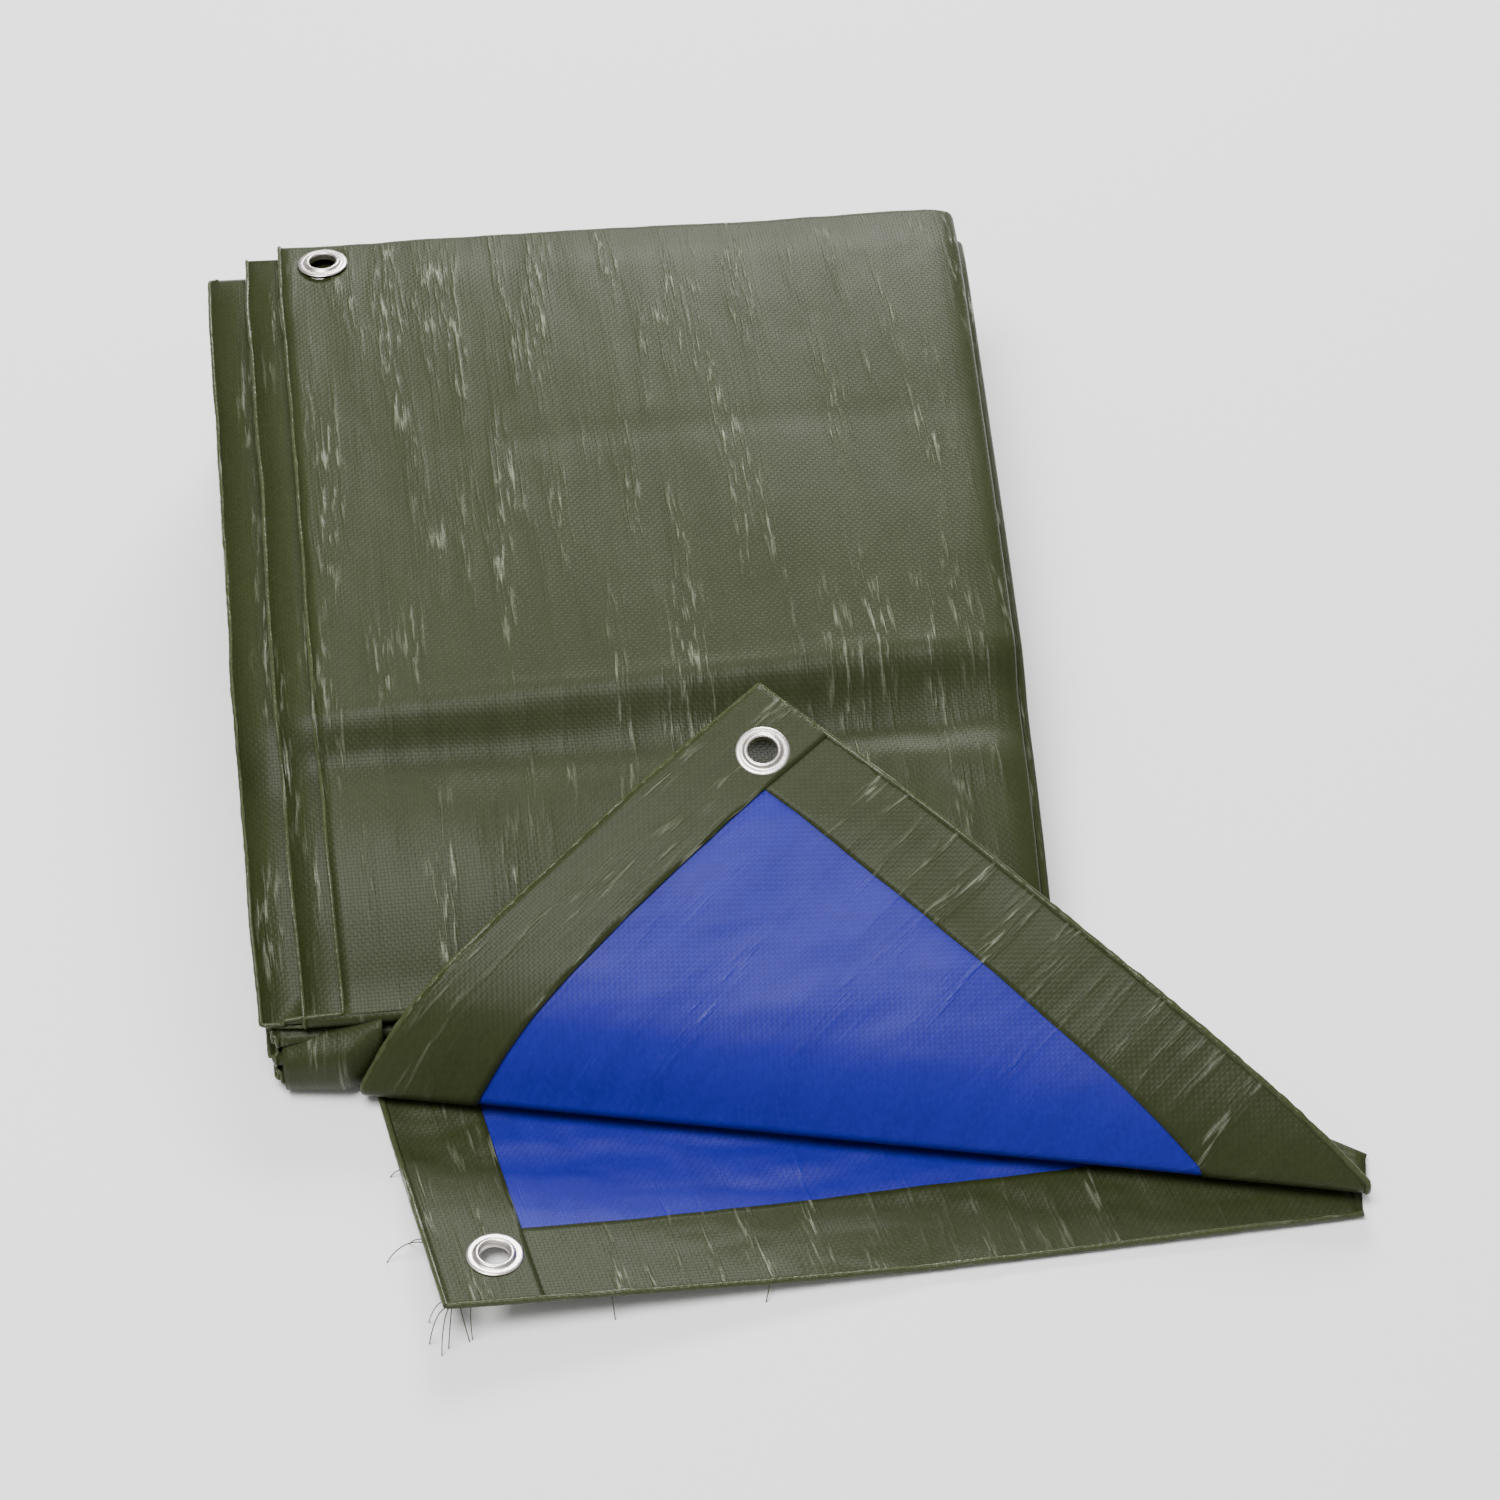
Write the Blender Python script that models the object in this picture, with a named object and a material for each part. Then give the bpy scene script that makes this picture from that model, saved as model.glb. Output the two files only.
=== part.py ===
"""A folded tarpaulin: coated woven cloth, green outside and blue inside, with a hem and eyelets.

The cloth is a doubled strip, blue side in, with its fold on the right and its hems on the left.
It is folded back and forth into a pack. At the near end the lower ply lies open on the ground,
and the corner of the upper ply is turned back onto the pack, so that its blue side shows.

Metres, +Z up. The origin is under the middle of the whole object, on the ground.
"""

import math
from collections import namedtuple

import bpy
from mathutils import Vector

MM = 0.001

# ---- driving sizes ----------------------------------------------------------------------------
PLY = 1.0 * MM             # thickness of one sheet of cloth
SEAM = 0.3 * MM            # gap between two pieces
HEM = 36 * MM              # width of the folded hem
EYELET_INSET = 23 * MM     # from each edge of a corner to the middle of its eyelet
EYELET_OUTER = 10.75 * MM  # radius of an eyelet's flange
EYELET_HOLE = 5.75 * MM    # radius of the open hole
EYELET_NECK = 6.9 * MM     # outer radius of the neck that goes through the cloth
FLANGE = 0.8 * MM          # thickness of an eyelet's flange
CLOTH_HOLE = EYELET_NECK + 0.8 * MM

# ---- the pack ---------------------------------------------------------------------------------
BACK = 247 * MM            # y of the back folds
RIGHT_SLANT = 0.025       # the right side moves in towards the front by this much for each metre
LEFT_SLANT = -0.053        # and the left side moves in too
GAP_FRONT = 0.8 * MM       # between the two plies of a layer at the front, pressed flat
GAP_BACK = 4.0 * MM        # and at the back, where the folds stay open

# Top of the pack from back to front: the shoulder, the long slope, the ridge that the flap
# rests on, the dent under it, the swell and the front roll.
Height = namedtuple("Height", "y top")
PROFILE = (
    Height(250, 92.5),
    Height(222, 96),
    Height(120, 90),
    Height(-6, 80),
    Height(-11, 78.5),
    Height(-24, 69),
    Height(-55, 63),
    Height(-82, 55),
    Height(-102, 46),
    Height(-116, 38),
    Height(-126, 34),
)

# One row for each doubled layer, from the ground up, in millimetres: the left edges of its lower
# and upper ply and its fold on the right, at the back of the pack, and the y of its front end.
Layer = namedtuple("Layer", "left_low left_up right front")
LAYERS = (
    Layer(-210, -208, 112, -130),
    Layer(-213, -209, 116, -132),
    Layer(-211, -212, 113, -132),
    Layer(-209, -213, 117, -129),
    Layer(-214, -211, 114, -129),
    Layer(-212, -209, 118, -126),
    Layer(-210, -212, 115, -126),
    Layer(-216, -214, 119, -124),
    Layer(-199, -184, 115, -124),
)

PACK_EYELET_Y = 234.5 * MM    # middle of the eyelet that is in the pack's left hem
PACK_EYELET_INSET = 18.5 * MM
STRIP_START = 0.05            # the hem strip starts this far past the top layer's first station

# ---- the turned flap and the lower sheet ------------------------------------------------------
FLAP_CORNER = Vector((4, -16, 83)) * MM       # the corner that is turned back onto the pack
BEND_LEFT = Vector((-159, -142, 12)) * MM     # ends of the line along which it is bent over
BEND_RIGHT = Vector((214, -220, 12)) * MM
BEND_RADIUS = 3.5 * MM
BEND_START = math.radians(40)  # slope at which the flap runs into its bend
BEND_RETURN = 22 * MM          # cloth that runs back under the flap,
LEFT_RETURN = 0.05             # and the share of it that does so at the bend's left end
TIP_CUT = 0.01                 # the blue panel stops this far short of the hems' inner corner

# Height of the flap's two edges, from its corner, at 0, to its bend, at 1.
Edge = namedtuple("Edge", "share left right")
FLAP_EDGES = (
    Edge(0.00, 83, 83),
    Edge(0.30, 73, 71),
    Edge(0.50, 63, 58),
    Edge(0.70, 52, 44),
    Edge(0.85, 40, 31),
    Edge(0.93, 28, 22),
    Edge(1.00, 12, 12),
)

SHEET_CORNER = Vector((-130, -245, 0)) * MM   # the corner that lies nearest
SHEET_TIP = Vector((212, -227, 0)) * MM       # the far end of its front edge, on the right
SHEET_INNER = Vector((-154, -139, 0)) * MM    # where its left edge goes in under the flap
CORNER_LIFT = 16 * MM                         # how far the corner springs up off the ground
LIFT_ALONG = 170 * MM                         # and how far from the corner it lies down again,
LIFT_BACK = 80 * MM                           # along the front edge and along the left edge
SHEET_TAPER = 0.054                           # its depth shrinks by this share of the way right,
TIP_SLOPE = 0.9                               # and its hidden right side runs back this steeply
TIP_END = 4 * MM                              # cloth left between the blue panel and that side

HOLE_SIDES = 16
RING_SIDES = 24


def mix(a, b, share):
    return a + (b - a) * share


def table_value(rows, key, value, at):
    """Straight-line reading of one column of a table against another, held at its ends."""
    pairs = sorted((getattr(row, key), getattr(row, value)) for row in rows)
    if at <= pairs[0][0]:
        return pairs[0][1]
    for (low, low_value), (high, high_value) in zip(pairs, pairs[1:]):
        if at <= high:
            return mix(low_value, high_value, (at - low) / (high - low))
    return pairs[-1][1]


# ---- cloth as a mesh --------------------------------------------------------------------------
def cloth(name, faces, surface, material, thickness=PLY):
    """A sheet of even thickness. faces are polygons of (u, v) points, all turned the same way, and
    surface(u, v) gives a point on the sheet's middle and the normal of its upper side."""
    index = {}
    points = []
    for u, v in (corner for face in faces for corner in face):
        key = (round(u, 7), round(v, 7))
        if key not in index:
            index[key] = len(points) // 2
            point, normal = surface(u, v)
            points += [point + normal * thickness / 2, point - normal * thickness / 2]
    loops = [[index[round(u, 7), round(v, 7)] for u, v in face] for face in faces]
    a, b, c = (points[2 * i] for i in loops[0][:3])
    if (b - a).cross(c - a).dot(a - points[2 * loops[0][0] + 1]) < 0:
        loops = [loop[::-1] for loop in loops]
    edges = {(a, b) for loop in loops for a, b in zip(loop, loop[1:] + loop[:1])}
    polygons = [[2 * i for i in loop] for loop in loops]
    polygons += [[2 * i + 1 for i in reversed(loop)] for loop in loops]
    polygons += [
        [2 * a, 2 * a + 1, 2 * b + 1, 2 * b] for a, b in edges if (b, a) not in edges
    ]
    return piece(name, points, polygons, material)


def piece(name, points, polygons, material):
    mesh = bpy.data.meshes.new(name)
    mesh.from_pydata([tuple(point) for point in points], [], polygons)
    mesh.validate()
    mesh.shade_smooth()
    mesh.set_sharp_from_angle(angle=math.radians(35))
    mesh.materials.append(material)
    thing = bpy.data.objects.new(name, mesh)
    bpy.context.scene.collection.objects.link(thing)
    return thing


def grid(columns, rows, place, keep=lambda i, j: True):
    """Triangles between the lines of a grid: place(i, j) gives the (u, v) of a crossing."""
    faces = []
    for i in range(columns):
        for j in range(rows):
            if keep(i, j):
                a, b, c, d = place(i, j), place(i + 1, j), place(i + 1, j + 1), place(i, j + 1)
                faces += [(a, b, c), (a, c, d)]
    return faces


def holed_cell(low, high, middle, reach):
    """A rectangle of cloth with a round hole, as triangles from its corners to the hole. reach is
    the hole's radius in each of the two directions' own units."""
    corners = [(high[0], high[1]), (low[0], high[1]), (low[0], low[1]), (high[0], low[1])]
    hole = []
    for n in range(HOLE_SIDES):
        turn = math.tau * n / HOLE_SIDES
        hole.append((middle[0] + reach[0] * math.cos(turn), middle[1] + reach[1] * math.sin(turn)))
    quarter = HOLE_SIDES // 4
    faces = []
    for side, corner in enumerate(corners):
        for n in range(side * quarter, (side + 1) * quarter):
            faces.append((corner, hole[(n + 1) % HOLE_SIDES], hole[n]))
        last = hole[(side + 1) * quarter % HOLE_SIDES]
        faces.append((corner, corners[(side + 1) % 4], last))
    return faces


def finish(name, colour, roughness, metallic=0.0):
    material = bpy.data.materials.new(name)
    material.use_nodes = True
    shader = material.node_tree.nodes["Principled BSDF"]
    shader.inputs["Base Color"].default_value = (*colour, 1.0)
    shader.inputs["Roughness"].default_value = roughness
    shader.inputs["Metallic"].default_value = metallic
    return material


# ---- the folded pack --------------------------------------------------------------------------
def top_height(y):
    return table_value(PROFILE, "y", "top", y / MM) * MM


def ply_gap(y):
    return mix(GAP_FRONT, GAP_BACK, max(0.0, (y + 0.1) / (BACK + 0.1)))


def layer_height(number, y):
    """Height of the middle of a doubled layer: the lowest lies flat, and the rest share the rise."""
    half = ply_gap(y) / 2 + PLY
    return half + number / (len(LAYERS) - 1) * (top_height(y) - 2 * half)


def side_at(back_value, slant, y):
    return back_value * MM + slant * (y - BACK)


Station = namedtuple("Station", "y z left_low left_up right on_top")
TURN_STEPS = 4
TOP_END = 247 * MM    # where the last layer starts to turn down at the back
TURN_DOWN = 4 * MM    # and the radius of that turn
FLAT_BY_EYELET = 11.3 * MM


def layer_line(number):
    """The y of each crease and each end of one layer, in the order in which the strip runs."""
    front = LAYERS[number].front * MM
    if number == 0:
        back = BACK - 10 * MM
    elif number == len(LAYERS) - 1:
        back = TOP_END
    else:
        # Two layers that share a fold end together, and each fold at the back is a little different.
        back = BACK - (7 + 2 * ((number + 1) // 2 % 2)) * MM
    inner = [row.y * MM for row in PROFILE if front + 4 * MM < row.y * MM < back - 4 * MM]
    if number == len(LAYERS) - 1:
        inner += [PACK_EYELET_Y - FLAT_BY_EYELET, PACK_EYELET_Y + FLAT_BY_EYELET]
    return sorted({front, back, *inner}, reverse=bool(number % 2))


def station(y, z, first, second):
    a, b = LAYERS[first], LAYERS[second]
    return Station(
        y,
        z,
        side_at((a.left_low + b.left_low) / 2, LEFT_SLANT, y),
        side_at((a.left_up + b.left_up) / 2, LEFT_SLANT, y),
        side_at((a.right + b.right) / 2, RIGHT_SLANT, y),
        first == len(LAYERS) - 1,
    )


def pack_stations():
    """The strip's middle line, layer after layer, with a half turn between two layers."""
    last = len(LAYERS) - 1
    stations = []
    for number in range(len(LAYERS)):
        line = layer_line(number)
        stations += [station(y, layer_height(number, y), number, number) for y in line]
        y, low = line[-1], stations[-1].z
        if number == last:
            break
        high = layer_height(number + 1, y)
        outward = -1 if number % 2 else 1
        for n in range(1, TURN_STEPS):
            turn = math.pi * n / TURN_STEPS
            reach = outward * (high - low) / 2 * math.sin(turn)
            height = mix(low, high, (1 - math.cos(turn)) / 2)
            stations.append(station(y + reach, height, number, number + 1))
    for n in (1, 2, 3):
        turn = math.pi / 2 * n / 3
        drop = TURN_DOWN * (1 - math.cos(turn))
        stations.append(station(y + TURN_DOWN * math.sin(turn), low - drop, last, last))
    return stations


def run_direction(stations, number):
    before, after = stations[max(0, number - 1)], stations[min(len(stations) - 1, number + 1)]
    return Vector((0, after.y - before.y, after.z - before.z)).normalized()


def ply_point(stations, number, x, sign):
    """A point on the middle of one ply, and the ply's outer normal. sign is 1 for the ply that is
    on top where the strip runs to the back, and -1 for the other."""
    here = stations[number]
    out = Vector((1, 0, 0)).cross(run_direction(stations, number))
    half = ply_gap(here.y) / 2 + PLY / 2
    return Vector((x, here.y, here.z)) + out * sign * half, out * sign


def build_pack(stations, material):
    """The doubled strip: lower ply, round fold on the right, upper ply, swept along its route."""
    columns = [("low", 0.0), ("low", 0.5), ("low", 1.0)]
    columns += [("fold", 0.25), ("fold", 0.5), ("fold", 0.75)]
    columns += [("up", 1.0), ("up", 0.5), ("up", 0.0)]
    top = [number for number, here in enumerate(stations) if here.on_top]

    def surface(u, v):
        number, column = round(u), round(v)
        here = stations[number]
        half = ply_gap(here.y) / 2 + PLY / 2
        kind, share = columns[column]
        if kind == "fold":
            out = Vector((1, 0, 0)).cross(run_direction(stations, number))
            side = Vector((math.sin(math.pi * share), 0, 0)) - out * math.cos(math.pi * share)
            return Vector((here.right - half, here.y, here.z)) + side * half, side
        left = here.left_low if kind == "low" else here.left_up
        # On the last layer the upper ply ends at the hem strip, which holds the eyelet.
        if kind == "up" and number > top[0]:
            left += HEM + SEAM
        side = -1 if kind == "low" else 1
        return ply_point(stations, number, mix(left, here.right - half, share), side)

    faces = grid(len(stations) - 1, len(columns) - 1, lambda i, j: (i, j))
    return cloth("folded_pack", faces, surface, material)


def build_pack_hem(stations, material):
    """The left hem of the last layer's upper ply, with the hole for its eyelet near the back."""
    top = [number for number, here in enumerate(stations) if here.on_top][1:]
    pairs = list(zip(top, top[1:]))
    before, behind = next((a, b) for a, b in pairs if stations[a].y < PACK_EYELET_Y < stations[b].y)

    def surface(u, v):
        number = min(int(v), top[-1] - 1)
        share = v - number
        (a, normal), (b, other) = (
            ply_point(stations, n, stations[n].left_up + u, 1) for n in (number, number + 1)
        )
        return a.lerp(b, share), normal.lerp(other, share).normalized()

    share = (PACK_EYELET_Y - stations[before].y) / (stations[behind].y - stations[before].y)
    eyelet = PACK_EYELET_INSET, before + share
    first, last = top[0] + STRIP_START, top[-1]
    rows = [first, *range(top[1], last + 1)]
    faces = grid(1, len(rows) - 1, lambda i, j: (i * HEM, rows[j]), lambda i, j: rows[j] != before)
    reach = CLOTH_HOLE / (stations[behind].y - stations[before].y)
    faces += holed_cell((0, before), (HEM, behind), eyelet, (CLOTH_HOLE, reach))
    return cloth("pack_hem_strip", faces, surface, material), surface(*eyelet)


# ---- the two corners at the near end ----------------------------------------------------------
FLAP_RIGHT_EDGE = (BEND_RIGHT - FLAP_CORNER).length
FLAP_LEFT_EDGE = (BEND_LEFT - FLAP_CORNER).length
BEND_ALONG = (BEND_RIGHT - BEND_LEFT).normalized()
BEND_OUT = BEND_ALONG.cross(Vector((0, 0, 1))).normalized()
FLAP_DEPTH = (BEND_LEFT - FLAP_CORNER).dot(BEND_OUT)
BEND_TURN = math.pi - BEND_START
ROLL_ROWS = [1 + BEND_RADIUS * BEND_TURN * n / 4 / FLAP_DEPTH for n in (1, 2, 3, 4)]
FLAP_ROWS = [0.40, 0.50, 0.70, 0.85, 0.93, 1.0, *ROLL_ROWS, ROLL_ROWS[-1] + BEND_RETURN / FLAP_DEPTH]


def flap_point(u, v):
    """u and v are measured on the cloth from the corner, along its right and its left edge."""
    share = u / FLAP_RIGHT_EDGE + v / FLAP_LEFT_EDGE
    across = u / FLAP_RIGHT_EDGE / share if share else 0.5
    on_flap = min(share, 1.0)
    end = BEND_LEFT.lerp(BEND_RIGHT, across)
    point = FLAP_CORNER.lerp(end, on_flap)
    left = table_value(FLAP_EDGES, "share", "left", on_flap)
    right = table_value(FLAP_EDGES, "share", "right", on_flap)
    point.z = mix(left, right, across) * MM
    past = (share - 1) * FLAP_DEPTH
    if past > 0:
        angle = BEND_START + min(past / BEND_RADIUS, BEND_TURN)
        up = Vector((0, 0, 1))
        point += BEND_RADIUS * (math.sin(angle) - math.sin(BEND_START)) * BEND_OUT
        point += BEND_RADIUS * (math.cos(angle) - math.cos(BEND_START)) * up
        # On the left the pack is close behind the bend, so little cloth runs back there.
        point -= max(0.0, past - BEND_RADIUS * BEND_TURN) * mix(LEFT_RETURN, 1, across) * BEND_OUT
    return point


def sheet_point(u, v):
    """u and v are measured on the cloth from the corner, along its front and its left edge."""
    front = (SHEET_TIP - SHEET_CORNER).normalized()
    back = (SHEET_INNER - SHEET_CORNER).normalized()
    lift = max(0.0, 1 - u / LIFT_ALONG - v / LIFT_BACK)
    return SHEET_CORNER + u * front + v * back + Vector((0, 0, PLY / 2 + CORNER_LIFT * lift))


def with_normal(point_at):
    """The same surface with the normal of its upper side, from two short steps on the cloth."""
    step = 0.2 * MM

    def surface(u, v):
        along = point_at(u + step, v) - point_at(max(0, u - step), v)
        back = point_at(u, v + step) - point_at(u, max(0, v - step))
        normal = along.cross(back).normalized()
        return point_at(u, v), normal

    return surface


def build_corner_strip(name, surface, along_u, along_v, material):
    """The hem on both sides of a corner, with the eyelet's hole. along_u(n, v) is the u of the leg's
    n-th crossing line, and along_v(n, u) is the same for the other leg."""
    def place(i, j):
        u, v = (0, HEM)[min(i, 1)], (0, HEM)[min(j, 1)]
        return (along_u[1](i - 1, v) if i > 1 else u), (along_v[1](j - 1, u) if j > 1 else v)

    faces = grid(along_u[0] + 1, along_v[0] + 1, place, lambda i, j: (i == 0) != (j == 0))
    middle = EYELET_INSET, EYELET_INSET
    faces += holed_cell((0, 0), (HEM, HEM), middle, (CLOTH_HOLE, CLOTH_HOLE))
    cloth(name, faces, surface, material)
    return surface(*middle)


def build_flap(green, blue):
    surface = with_normal(flap_point)

    def upward(u, v):
        point, normal = surface(u, v)
        return point, -normal

    count = len(FLAP_ROWS)
    eyelet = build_corner_strip(
        "flap_hem_strip",
        upward,
        (count, lambda n, v: FLAP_RIGHT_EDGE * (FLAP_ROWS[n - 1] - v / FLAP_LEFT_EDGE)),
        (count, lambda n, u: FLAP_LEFT_EDGE * (FLAP_ROWS[n - 1] - u / FLAP_RIGHT_EDGE)),
        green,
    )
    inner = HEM + SEAM
    tip = inner / FLAP_RIGHT_EDGE + inner / FLAP_LEFT_EDGE + TIP_CUT
    rows = [tip, *FLAP_ROWS]
    columns = 6

    def place(i, j):
        share = rows[j]
        low = inner / (share * FLAP_RIGHT_EDGE)
        high = 1 - inner / (share * FLAP_LEFT_EDGE)
        across = mix(low, high, i / columns)
        return share * FLAP_RIGHT_EDGE * across, share * FLAP_LEFT_EDGE * (1 - across)

    cloth("flap_panel", grid(columns, len(rows) - 1, place), upward, blue)
    return eyelet


def build_sheet(green, blue):
    surface = with_normal(sheet_point)
    length = (SHEET_TIP - SHEET_CORNER).length
    depth = (SHEET_INNER - SHEET_CORNER).length

    def back_end(u):
        return min(depth - SHEET_TAPER * u, (length - u) * TIP_SLOPE)

    legs, sides = 7, 3
    eyelet = build_corner_strip(
        "sheet_hem_strip",
        surface,
        (legs, lambda n, v: mix(HEM, length - v / TIP_SLOPE, n / legs)),
        (sides, lambda n, u: mix(HEM, back_end(u), n / sides)),
        green,
    )
    inner = HEM + SEAM
    last = length - (inner + TIP_END) / TIP_SLOPE
    columns, rows = 10, 4

    def place(i, j):
        u = mix(inner, last, i / columns)
        return u, mix(inner, back_end(u), j / rows)

    cloth("sheet_panel", grid(columns, rows, place), surface, blue)
    return eyelet


# ---- eyelets ----------------------------------------------------------------------------------
def build_eyelet(name, centre, normal, material):
    """A turned ring that clasps the cloth: two flanges, with the neck between them."""
    slot = PLY / 2 + SEAM
    face = slot + FLANGE
    profile = [
        (EYELET_HOLE, -face),
        (EYELET_OUTER, -face),
        (EYELET_OUTER, -slot),
        (EYELET_NECK, -slot),
        (EYELET_NECK, slot),
        (EYELET_OUTER, slot),
        (EYELET_OUTER, face),
        (EYELET_HOLE, face),
    ]
    points = []
    for n in range(RING_SIDES):
        turn = math.tau * n / RING_SIDES
        points += [Vector((r * math.cos(turn), r * math.sin(turn), z)) for r, z in profile]
    across = len(profile)
    polygons = []
    for n in range(RING_SIDES):
        this, following = n * across, (n + 1) % RING_SIDES * across
        for m in range(across):
            k = (m + 1) % across
            polygons.append([this + m, following + m, following + k, this + k])
    turned = Vector((0, 0, 1)).rotation_difference(normal).to_matrix()
    ring = piece(name, [centre + turned @ point for point in points], polygons, material)
    return ring


def centre_on_ground(things):
    """Moves everything so that the origin is under the middle of the whole object."""
    corners = [vertex.co for thing in things for vertex in thing.data.vertices]
    low = Vector(min(point[axis] for point in corners) for axis in range(3))
    high = Vector(max(point[axis] for point in corners) for axis in range(3))
    shift = Vector(((low.x + high.x) / 2, (low.y + high.y) / 2, low.z))
    for thing in things:
        for vertex in thing.data.vertices:
            vertex.co -= shift


def main():
    for thing in list(bpy.data.objects):
        bpy.data.objects.remove(thing, do_unlink=True)
    green = finish("green_coated_cloth", (0.070, 0.085, 0.034), 0.38)
    blue = finish("blue_coated_cloth", (0.025, 0.045, 0.42), 0.42)
    aluminium = finish("eyelet_aluminium", (0.62, 0.58, 0.56), 0.3, 1.0)
    stations = pack_stations()
    build_pack(stations, green)
    pack_eyelet = build_pack_hem(stations, green)[1]
    build_eyelet("eyelet_pack", *pack_eyelet, aluminium)
    build_eyelet("eyelet_flap", *build_flap(green, blue), aluminium)
    build_eyelet("eyelet_sheet", *build_sheet(green, blue), aluminium)
    centre_on_ground(list(bpy.data.objects))


main()
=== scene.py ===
# %% [markdown]
# # A folded tarpaulin
#
# The real thing is one sheet of coated woven cloth, green outside and blue inside. A maker weaves
# flat plastic tape, coats it, turns a hem over a cord on all sides, and presses an eyelet into
# each corner and along the hem. Here it lies folded: a doubled strip, blue side in, goes back and
# forth into a pack, and at the near end one corner is turned back to show the blue side.
#
# The frame holds plain solids at the right size. This file lays thin cloth on the same folds.

# %% Load the frame and keep its box
import math
from collections import namedtuple

import bpy
import bmesh
import numpy as np
from mathutils import Matrix, Vector, noise


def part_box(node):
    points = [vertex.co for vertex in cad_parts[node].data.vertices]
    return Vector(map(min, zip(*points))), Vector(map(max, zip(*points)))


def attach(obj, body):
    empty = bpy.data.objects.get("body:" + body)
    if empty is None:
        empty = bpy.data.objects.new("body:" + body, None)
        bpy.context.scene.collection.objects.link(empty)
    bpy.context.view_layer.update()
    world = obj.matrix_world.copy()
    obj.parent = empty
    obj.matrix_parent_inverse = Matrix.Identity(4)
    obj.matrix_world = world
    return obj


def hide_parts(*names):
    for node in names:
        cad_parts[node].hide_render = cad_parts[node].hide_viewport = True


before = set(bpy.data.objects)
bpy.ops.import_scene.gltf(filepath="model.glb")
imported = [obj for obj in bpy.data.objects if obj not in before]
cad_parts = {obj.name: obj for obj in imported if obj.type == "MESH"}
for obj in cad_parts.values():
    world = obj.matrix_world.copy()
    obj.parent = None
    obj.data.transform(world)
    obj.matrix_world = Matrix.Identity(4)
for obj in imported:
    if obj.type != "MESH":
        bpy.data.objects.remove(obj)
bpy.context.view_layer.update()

# %% [markdown]
# ## Sizes
#
# These are the same folds as in the frame. The tables could be one long list of points, but named
# rows say what each number is: where the pack's top bends, how far each layer reaches, and how
# high the two edges of the flap run.

# %% Sizes of the cloth and the pack
MM = 0.001
PLY = 1.0 * MM            # the frame's plies; the cloth drawn here is thinner
CLOTH = 0.35 * MM         # thickness of the drawn cloth
HEM = 36 * MM
HEM_CORD = 1.3 * MM       # radius of the cord in the hem's edge
EYELET_INSET = 23 * MM
BACK = 247 * MM
TOP_END = 247 * MM        # where the top layer starts to turn down at the back
TURN_DOWN = 4 * MM
RIGHT_SLANT, LEFT_SLANT = 0.025, -0.053
GAP_FRONT, GAP_BACK = 0.8 * MM, 4.0 * MM

Height = namedtuple("Height", "y top")
PROFILE = [
    Height(250, 92.5), Height(222, 96), Height(120, 90), Height(-6, 80), Height(-11, 78.5),
    Height(-24, 69), Height(-55, 63), Height(-82, 55), Height(-102, 46), Height(-116, 38),
    Height(-126, 34),
]
Layer = namedtuple("Layer", "left_low left_up right front")
LAYERS = [
    Layer(-210, -208, 112, -130), Layer(-213, -209, 116, -132), Layer(-211, -212, 113, -132),
    Layer(-209, -213, 117, -129), Layer(-214, -211, 114, -129), Layer(-212, -209, 118, -126),
    Layer(-210, -212, 115, -126), Layer(-216, -214, 119, -124), Layer(-199, -184, 115, -124),
]
LAST = len(LAYERS) - 1
PACK_EYELET_Y = 234.5 * MM
print("the pack:", len(LAYERS), "layers of a doubled strip")

# %% Sizes of the flap and of the lower sheet
FLAP_CORNER = Vector((4, -16, 83)) * MM
BEND_LEFT = Vector((-159, -142, 12)) * MM
BEND_RIGHT = Vector((214, -220, 12)) * MM
BEND_RADIUS = 3.5 * MM
BEND_START = math.radians(40)
Edge = namedtuple("Edge", "share left right")
FLAP_EDGES = [
    Edge(0.00, 83, 83), Edge(0.30, 73, 71), Edge(0.50, 63, 58), Edge(0.70, 52, 44),
    Edge(0.85, 40, 31), Edge(0.93, 28, 22), Edge(1.00, 12, 12),
]
SHEET_CORNER = Vector((-130, -245, 0)) * MM
SHEET_TIP = Vector((212, -227, 0)) * MM
SHEET_INNER = Vector((-154, -139, 0)) * MM
CORNER_LIFT, LIFT_ALONG, LIFT_BACK = 16 * MM, 170 * MM, 80 * MM
UP = Vector((0, 0, 1))


def mix(a, b, share):
    return a + (b - a) * share


# %% [markdown]
# ## Soft creases
#
# A table read with straight lines gives a faceted fold, and a free spline overshoots beside a
# sharp crease. A Hermite curve whose slope at each row is held back where the table turns keeps
# the ridge crisp and the long slopes round.

# %% A smooth reading of a table
def smooth_reader(rows, key, value):
    """A function that reads one column of a table against another along a monotone curve."""
    pairs = sorted((getattr(row, key), getattr(row, value)) for row in rows)
    xs = np.array([pair[0] for pair in pairs], float)
    ys = np.array([pair[1] for pair in pairs], float)
    slopes = np.diff(ys) / np.diff(xs)
    tangents = np.empty(len(xs))
    tangents[0], tangents[-1] = slopes[0], slopes[-1]
    for i in range(1, len(xs) - 1):
        before, after = slopes[i - 1], slopes[i]
        tangents[i] = 0 if before * after <= 0 else 2 * before * after / (before + after)

    def read(at):
        at = min(max(at, xs[0]), xs[-1])
        i = min(int(np.searchsorted(xs, at, side="right")) - 1, len(xs) - 2)
        width = xs[i + 1] - xs[i]
        t = (at - xs[i]) / width
        rise = (2 * t**3 - 3 * t**2 + 1) * ys[i] + (3 * t**2 - 2 * t**3) * ys[i + 1]
        bend = (t**3 - 2 * t**2 + t) * tangents[i] + (t**3 - t**2) * tangents[i + 1]
        return float(rise + bend * width)

    return read


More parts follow.
